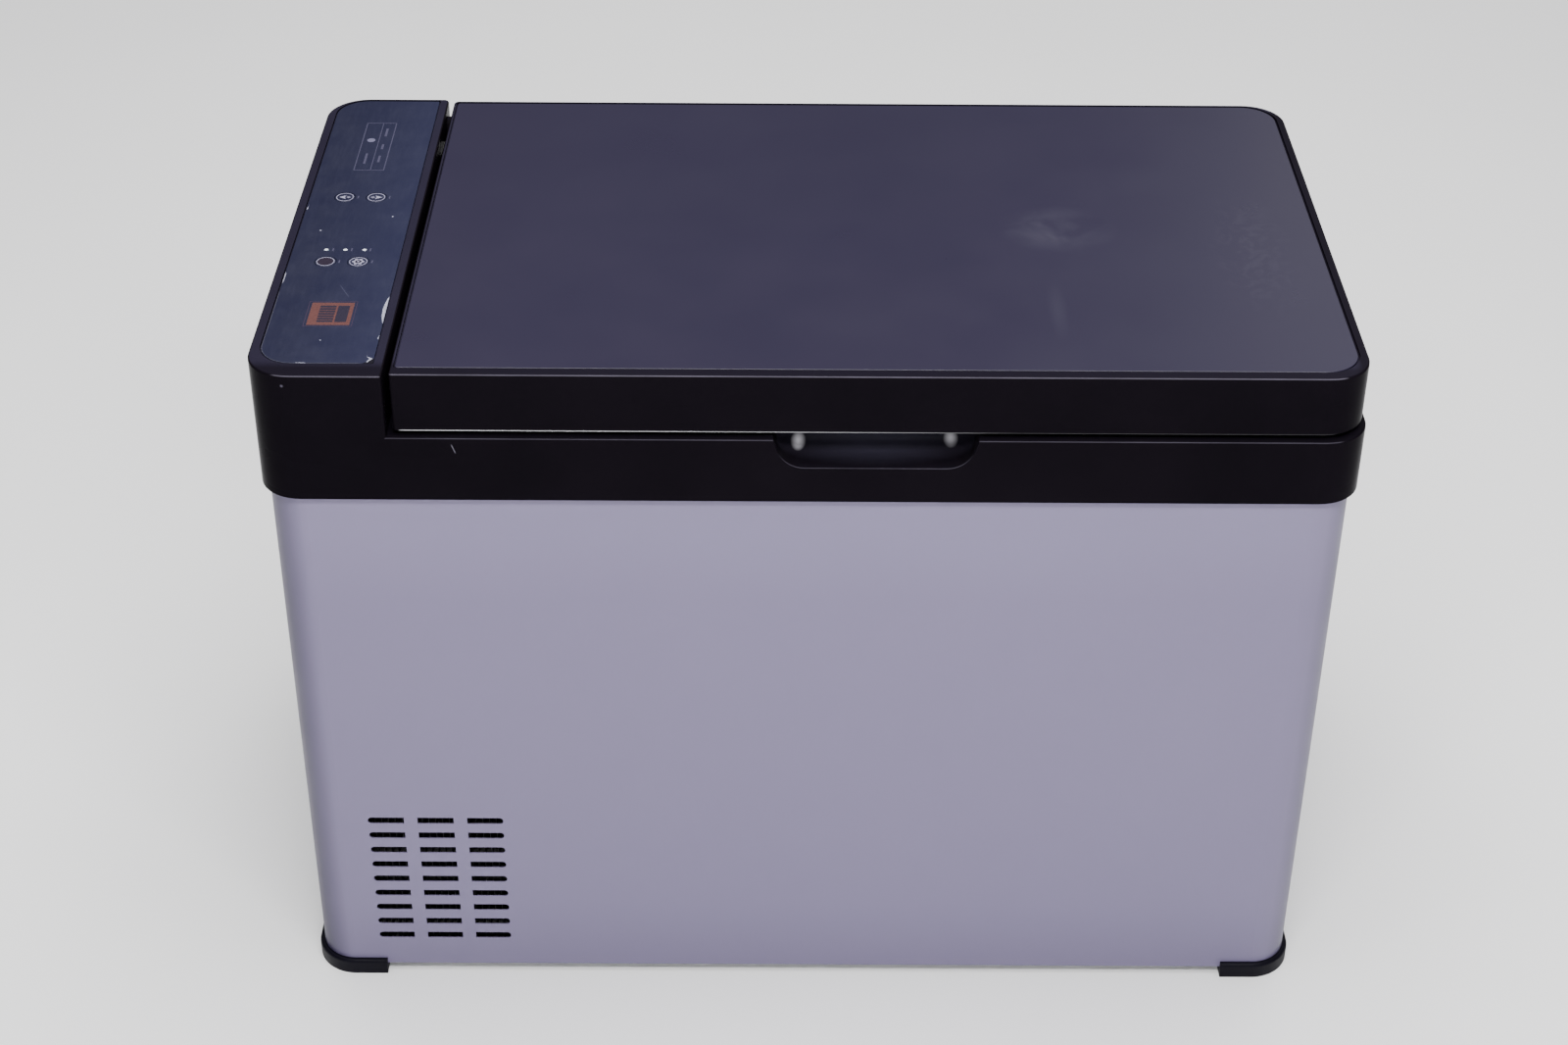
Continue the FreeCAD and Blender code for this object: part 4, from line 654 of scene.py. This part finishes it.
def key_prints(pale, ruby, dark):
    """The printed symbols; each rides on its own key."""
    ring_outer, ring_inner, field_radius = 5.1, 4.65, 4.4
    ring = [circle(0, 0, ring_outer), circle(0, 0, ring_inner)]
    arrow = [(-3.4, 0.0), (0.6, 2.2), (-0.1, 0.0), (0.6, -2.2)]
    tail = [circle(2.1, 0.0, 1.3, 4), circle(2.1, 0.0, 0.85, 4), circle(2.1, 0.0, 0.35, 12)]
    for key, side in (("key_up", 1.0), ("key_down", -1.0)):
        x, y = centre_of(key)
        loops = [moved(loop, x, y, side) for loop in [*ring, arrow, *tail]]
        key_piece(key, "_print", loops, pale)
    x, y = centre_of("key_set")
    key_piece("key_set", "_print", [moved(loop, x, y) for loop in ring], pale)
    key_piece("key_set", "_fill", [circle(x, y, field_radius)], ruby)
    x, y = centre_of("key_power")
    lobe_count, lobe_radius, lobe_rise, steps = 6, 3.1, 0.55, 72
    lobes = []
    for i in range(steps):
        turn = math.tau * i / steps
        radius = lobe_radius + lobe_rise * math.cos(lobe_count * turn)
        lobes.append((x + radius * math.cos(turn), y + radius * math.sin(turn)))
    wheel = [moved(loop, x, y) for loop in ring] + [lobes, circle(x, y, 1.9, 36)]
    key_piece("key_power", "_print", wheel, pale)
    key_piece("key_power", "_centre", [circle(x, y, 1.8, 36), circle(x, y, 0.7, 18)], dark)
    key_piece("key_power", "_dot", [circle(x, y, 0.6, 18)], pale)


def panel_prints(faint, grey, clay, dark, rust):
    """The lines round the display, the dashes beside the lamps and a plain badge."""
    x, y = centre_of("display_window")
    half_wide, half_long = 9.25, 33.0
    x0, x1, y0, y1 = x - half_wide, x + half_wide, y - half_long, y + half_long
    lines = outline(x0, x1, y0, y1, 0.6)
    lines.append(rectangle(x + 0.7, x + 1.2, y0 + 1.0, y1 - 1.0))
    for offset, length in ((-22.0, 9.0), (-4.0, 7.0), (14.0, 11.0)):
        lines.append(rectangle(x + 3.6, x + 5.0, y + offset, y + offset + length))
    lines.append(rectangle(x - 4.6, x - 3.2, y - 24.0, y - 10.0))
    panel_piece("display_lines", lines, faint)
    panel_piece("display_dot", [circle(x - 3.75, y + 8.5, 2.5)], grey)
    # the row of lamps, each 3 mm wide, with a dash to its right
    lo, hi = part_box("indicator_leds")
    lamps = [lo.x / MM + 1.5, (lo.x + hi.x) / 2 / MM, hi.x / MM - 1.5]
    row = (lo.y + hi.y) / 2 / MM
    dashes = [rectangle(lamp + 3.2, lamp + 4.0, row - 1.8, row + 1.8) for lamp in lamps]
    panel_piece("lamp_dashes", dashes, faint)
    for key in ("key_up", "key_down", "key_set", "key_power"):
        kx, ky = centre_of(key)
        mark = [rectangle(kx + 7.4, kx + 8.2, ky - 1.6, ky + 1.6)]
        panel_piece(key + "_dash", mark, faint)
    # badge: a thin frame, a clay field and a dark block of plain bars
    bx, by = x + 2.2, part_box("control_overlay")[0].y / MM + 53.3
    panel_piece("badge_line", outline(bx - 13.3, bx + 13.3, by - 14.0, by + 14.0, 0.4), rust)
    field = rectangle(bx - 11.6, bx + 11.8, by - 12.4, by + 12.4)
    bar_count, bar_pitch, bar_tall = 7, 2.7, 2.1
    starts = [by - 9.2 + bar_pitch * i for i in range(bar_count)]
    bars = [rectangle(bx - 6.6, bx + 2.2, start, start + bar_tall) for start in starts]
    block = rectangle(bx + 3.2, bx + 9.6, by - 9.2, by + 9.1)
    panel_piece("badge_field", [field, *bars, block], clay)
    panel_piece("badge_bars", [*bars, block], dark, PRINT_HEIGHT * 0.8)


RAGGED_STEP = 1.2


def ragged(points, amount, seed):
    """Breaks the sides of a loop into small uneven steps."""
    draw = random.Random(seed)
    result = []
    for (x0, y0), (x1, y1) in zip(points, points[1:] + points[:1]):
        steps = max(1, int(math.hypot(x1 - x0, y1 - y0) / RAGGED_STEP))
        for i in range(steps):
            t = i / steps
            result.append((x0 + (x1 - x0) * t + draw.uniform(-amount, amount),
                           y0 + (y1 - y0) * t + draw.uniform(-amount, amount)))
    return result


def panel_wear(chip, bare):
    """Flakes, a rubbed edge and a torn corner of the printed film."""
    lo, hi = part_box("control_overlay")
    left, right, front = lo.x / MM, hi.x / MM, lo.y / MM
    spots = ((12.2, 151.2, 0.6), (51.6, 168.9, 0.55), (30.5, 24.5, 0.45))
    flakes = [ragged(circle(left + dx, front + dy, r, 9), r * 0.25, seed)
              for seed, (dx, dy, r) in enumerate(spots)]
    left_flake = [(left + 0.3, front + 177.0), (left + 0.9, front + 178.0),
                  (left + 0.9, front + 184.0)]
    right_flake = [(right - 0.9, front + 26.5), (right - 0.2, front + 25.5),
                   (right - 0.2, front + 30.0)]
    flakes += [ragged(left_flake, 0.12, 11), ragged(right_flake, 0.12, 12)]
    panel_piece("film_flakes", flakes, chip)
    # the right edge rubbed away in a shallow bow
    rub_from, rub_to, rub_deep, rub_steps = front + 43.0, front + 73.0, 1.8, 24
    rub = []
    for i in range(rub_steps + 1):
        t = i / rub_steps
        bow = rub_deep * math.sin(math.pi * t) ** 0.8
        rub.append((right - 0.15 - bow, rub_from + (rub_to - rub_from) * t))
    rub += [(right - 0.12, rub_to), (right - 0.12, rub_from)]
    panel_piece("film_rub", [rub], chip)
    # the torn front right corner, with a lifted flap
    tear = [(right + 0.05, front - 0.05), (right + 0.05, front + 5.2), (right - 1.6, front + 4.0),
            (right - 3.6, front + 1.6), (right - 5.6, front - 0.05)]
    panel_piece("film_tear", [tear], bare)
    flap = [(right - 4.2, front + 7.2), (right - 0.6, front + 5.0), (right - 3.4, front + 0.8),
            (right - 3.3, front + 2.6), (right - 2.2, front + 4.6)]
    panel_piece("film_flap", [flap], chip, 0.12)
    edge = [(left + 21.0, front + 0.15), (left + 26.0, front + 0.1), (left + 26.0, front + 0.6),
            (left + 21.0, front + 0.7)]
    sliver = [(left + 0.15, front + 87.0), (left + 0.65, front + 90.0),
              (left + 0.7, front + 98.0), (left + 0.15, front + 101.0)]
    panel_piece("film_edge_chips", [ragged(edge, 0.1, 5), ragged(sliver, 0.1, 6)], chip)


def panel_edge(pale):
    """The film's cut edge, which shows as a hairline round its front left corner."""
    lo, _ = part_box("control_overlay")
    left, front, radius, turn_steps = lo.x / MM, lo.y / MM, 18.5, 16
    angles = [math.pi * (1.0 + 0.5 * i / turn_steps) for i in range(turn_steps + 1)]

    def line(inset):
        reach = radius - inset
        turn = [(left + radius + reach * math.cos(a), front + radius + reach * math.sin(a))
                for a in angles]
        return [(left + inset, front + 78.0), *turn, (left + 54.0, front + inset)]

    panel_piece("film_edge", [line(0.10) + line(0.38)[::-1]], pale, 0.03)


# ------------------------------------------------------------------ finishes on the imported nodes
def dress():
    """Gives every CAD node the finish of its slot, or one of its own."""
    slots = {
        "body_paint": body_paint(),
        "black_moulding": moulding("black_moulding"),
        "lid_sheet": lid_sheet(),
        "panel_film": panel_film(),
        "window_tint": panel_film("window_tint"),
        "key_film": panel_film("key_film"),
        "light_pipe": light_pipe(),
        "liner_plastic": liner_plastic(),
        "foam": foam(),
        "seal_rubber": rubber(),
        "foot_moulding": foot_moulding(),
        "zinc_steel": zinc_steel(),
        "compressor_paint": enamel("compressor_paint", COMPRESSOR_BLACK, 0.3),
        "copper": copper(),
        "fin_aluminium": aluminium(),
        "board": board(),
        "basket_coat": enamel("basket_coat", BASKET_WHITE, 0.36, 900.0),
        "cable_sleeve": cable_sleeve(),
        "bush_plastic": bush_plastic(),
        "lens_clear": lens_clear(),
        "coil_paint": enamel("coil_paint", COIL_BLACK, 0.5, 900.0),
    }
    own = {
        "top_frame": frame_moulding(),
        "lid_shell": lid_moulding(),
        "hinge_pin_left": enamel("black_pin", COIL_BLACK, 0.5, 900.0),
    }
    for row in frame["record"]["subparts"]:
        node = nodes[row["node"]]
        finish = own.get(row["node"], slots[row["material_slot"]])
        node.data.materials.clear()
        node.data.materials.append(finish.material)


# ------------------------------------------------------------------ floor, lights and surroundings
FLOOR_HALF = 12.0
WORLD_COLOUR = (0.93, 0.92, 1.0, 1.0)
WORLD_STRENGTH = 0.15
# name, place, aim, width and height in metres, watts
SOFTBOXES = (
    ("softbox_front", (0.08, -0.95, 1.42), (0.0, 0.0, 0.3), 0.9, 0.22, 20.0),
    ("softbox_low", (0.05, -1.60, 0.66), (0.0, 0.0, 0.3), 0.5, 0.3, 7.0),
    ("softbox_rear", (1.45, 2.5, 1.6), (0.0, 0.0, 0.4), 1.5, 1.8, 6.0),
    ("softbox_top", (0.0, 0.3, 2.8), (0.0, 0.1, 0.0), 2.4, 2.4, 136.0),
)


def add_floor():
    """A plain pale floor."""
    f = Finish("floor", FLOOR_WHITE, 0.85, Specular_IOR_Level=0.2)
    f.mottle(3.0, 3.0, 0.99, 1.01)
    mesh = bpy.data.meshes.new("floor")
    corners = rectangle(-FLOOR_HALF, FLOOR_HALF, -FLOOR_HALF, FLOOR_HALF)
    mesh.from_pydata([(x, y, 0.0) for x, y in corners], [], [(0, 1, 2, 3)])
    mesh.materials.append(f.material)
    floor = bpy.data.objects.new("floor", mesh)
    bpy.context.scene.collection.objects.link(floor)


def add_softbox(name, place, aim, width, height, watts):
    """A rectangular area light turned towards a point."""
    data = bpy.data.lights.new(name, "AREA")
    data.shape = "RECTANGLE"
    data.size = width
    data.size_y = height
    data.energy = watts
    light = bpy.data.objects.new(name, data)
    light.location = place
    direction = Vector(aim) - Vector(place)
    light.rotation_euler = direction.to_track_quat("-Z", "Y").to_euler()
    bpy.context.scene.collection.objects.link(light)


def add_lights():
    """The softboxes and a dim sky."""
    for softbox in SOFTBOXES:
        add_softbox(*softbox)
    world = bpy.data.worlds.new("studio")
    world.use_nodes = True
    background = world.node_tree.nodes["Background"]
    background.inputs["Color"].default_value = WORLD_COLOUR
    background.inputs["Strength"].default_value = WORLD_STRENGTH
    bpy.context.scene.world = world


add_camera()
add_floor()
add_lights()
dress()
inks = {name: ink(name, colour) for name, colour in INKS.items()}
chip_white = ink("chip_white", CHIP_WHITE, wear=0.5)
bare_black = moulding("bare_black", BARE_BLACK)
key_prints(inks["pale_ink"], inks["ruby_ink"], inks["dark_ink"])
panel_prints(inks["faint_ink"], inks["grey_ink"], inks["clay_ink"], inks["dark_ink"],
             inks["rust_ink"])
panel_wear(chip_white, bare_black)
panel_edge(ink("edge_ink", EDGE_GREY, wear=0.6))
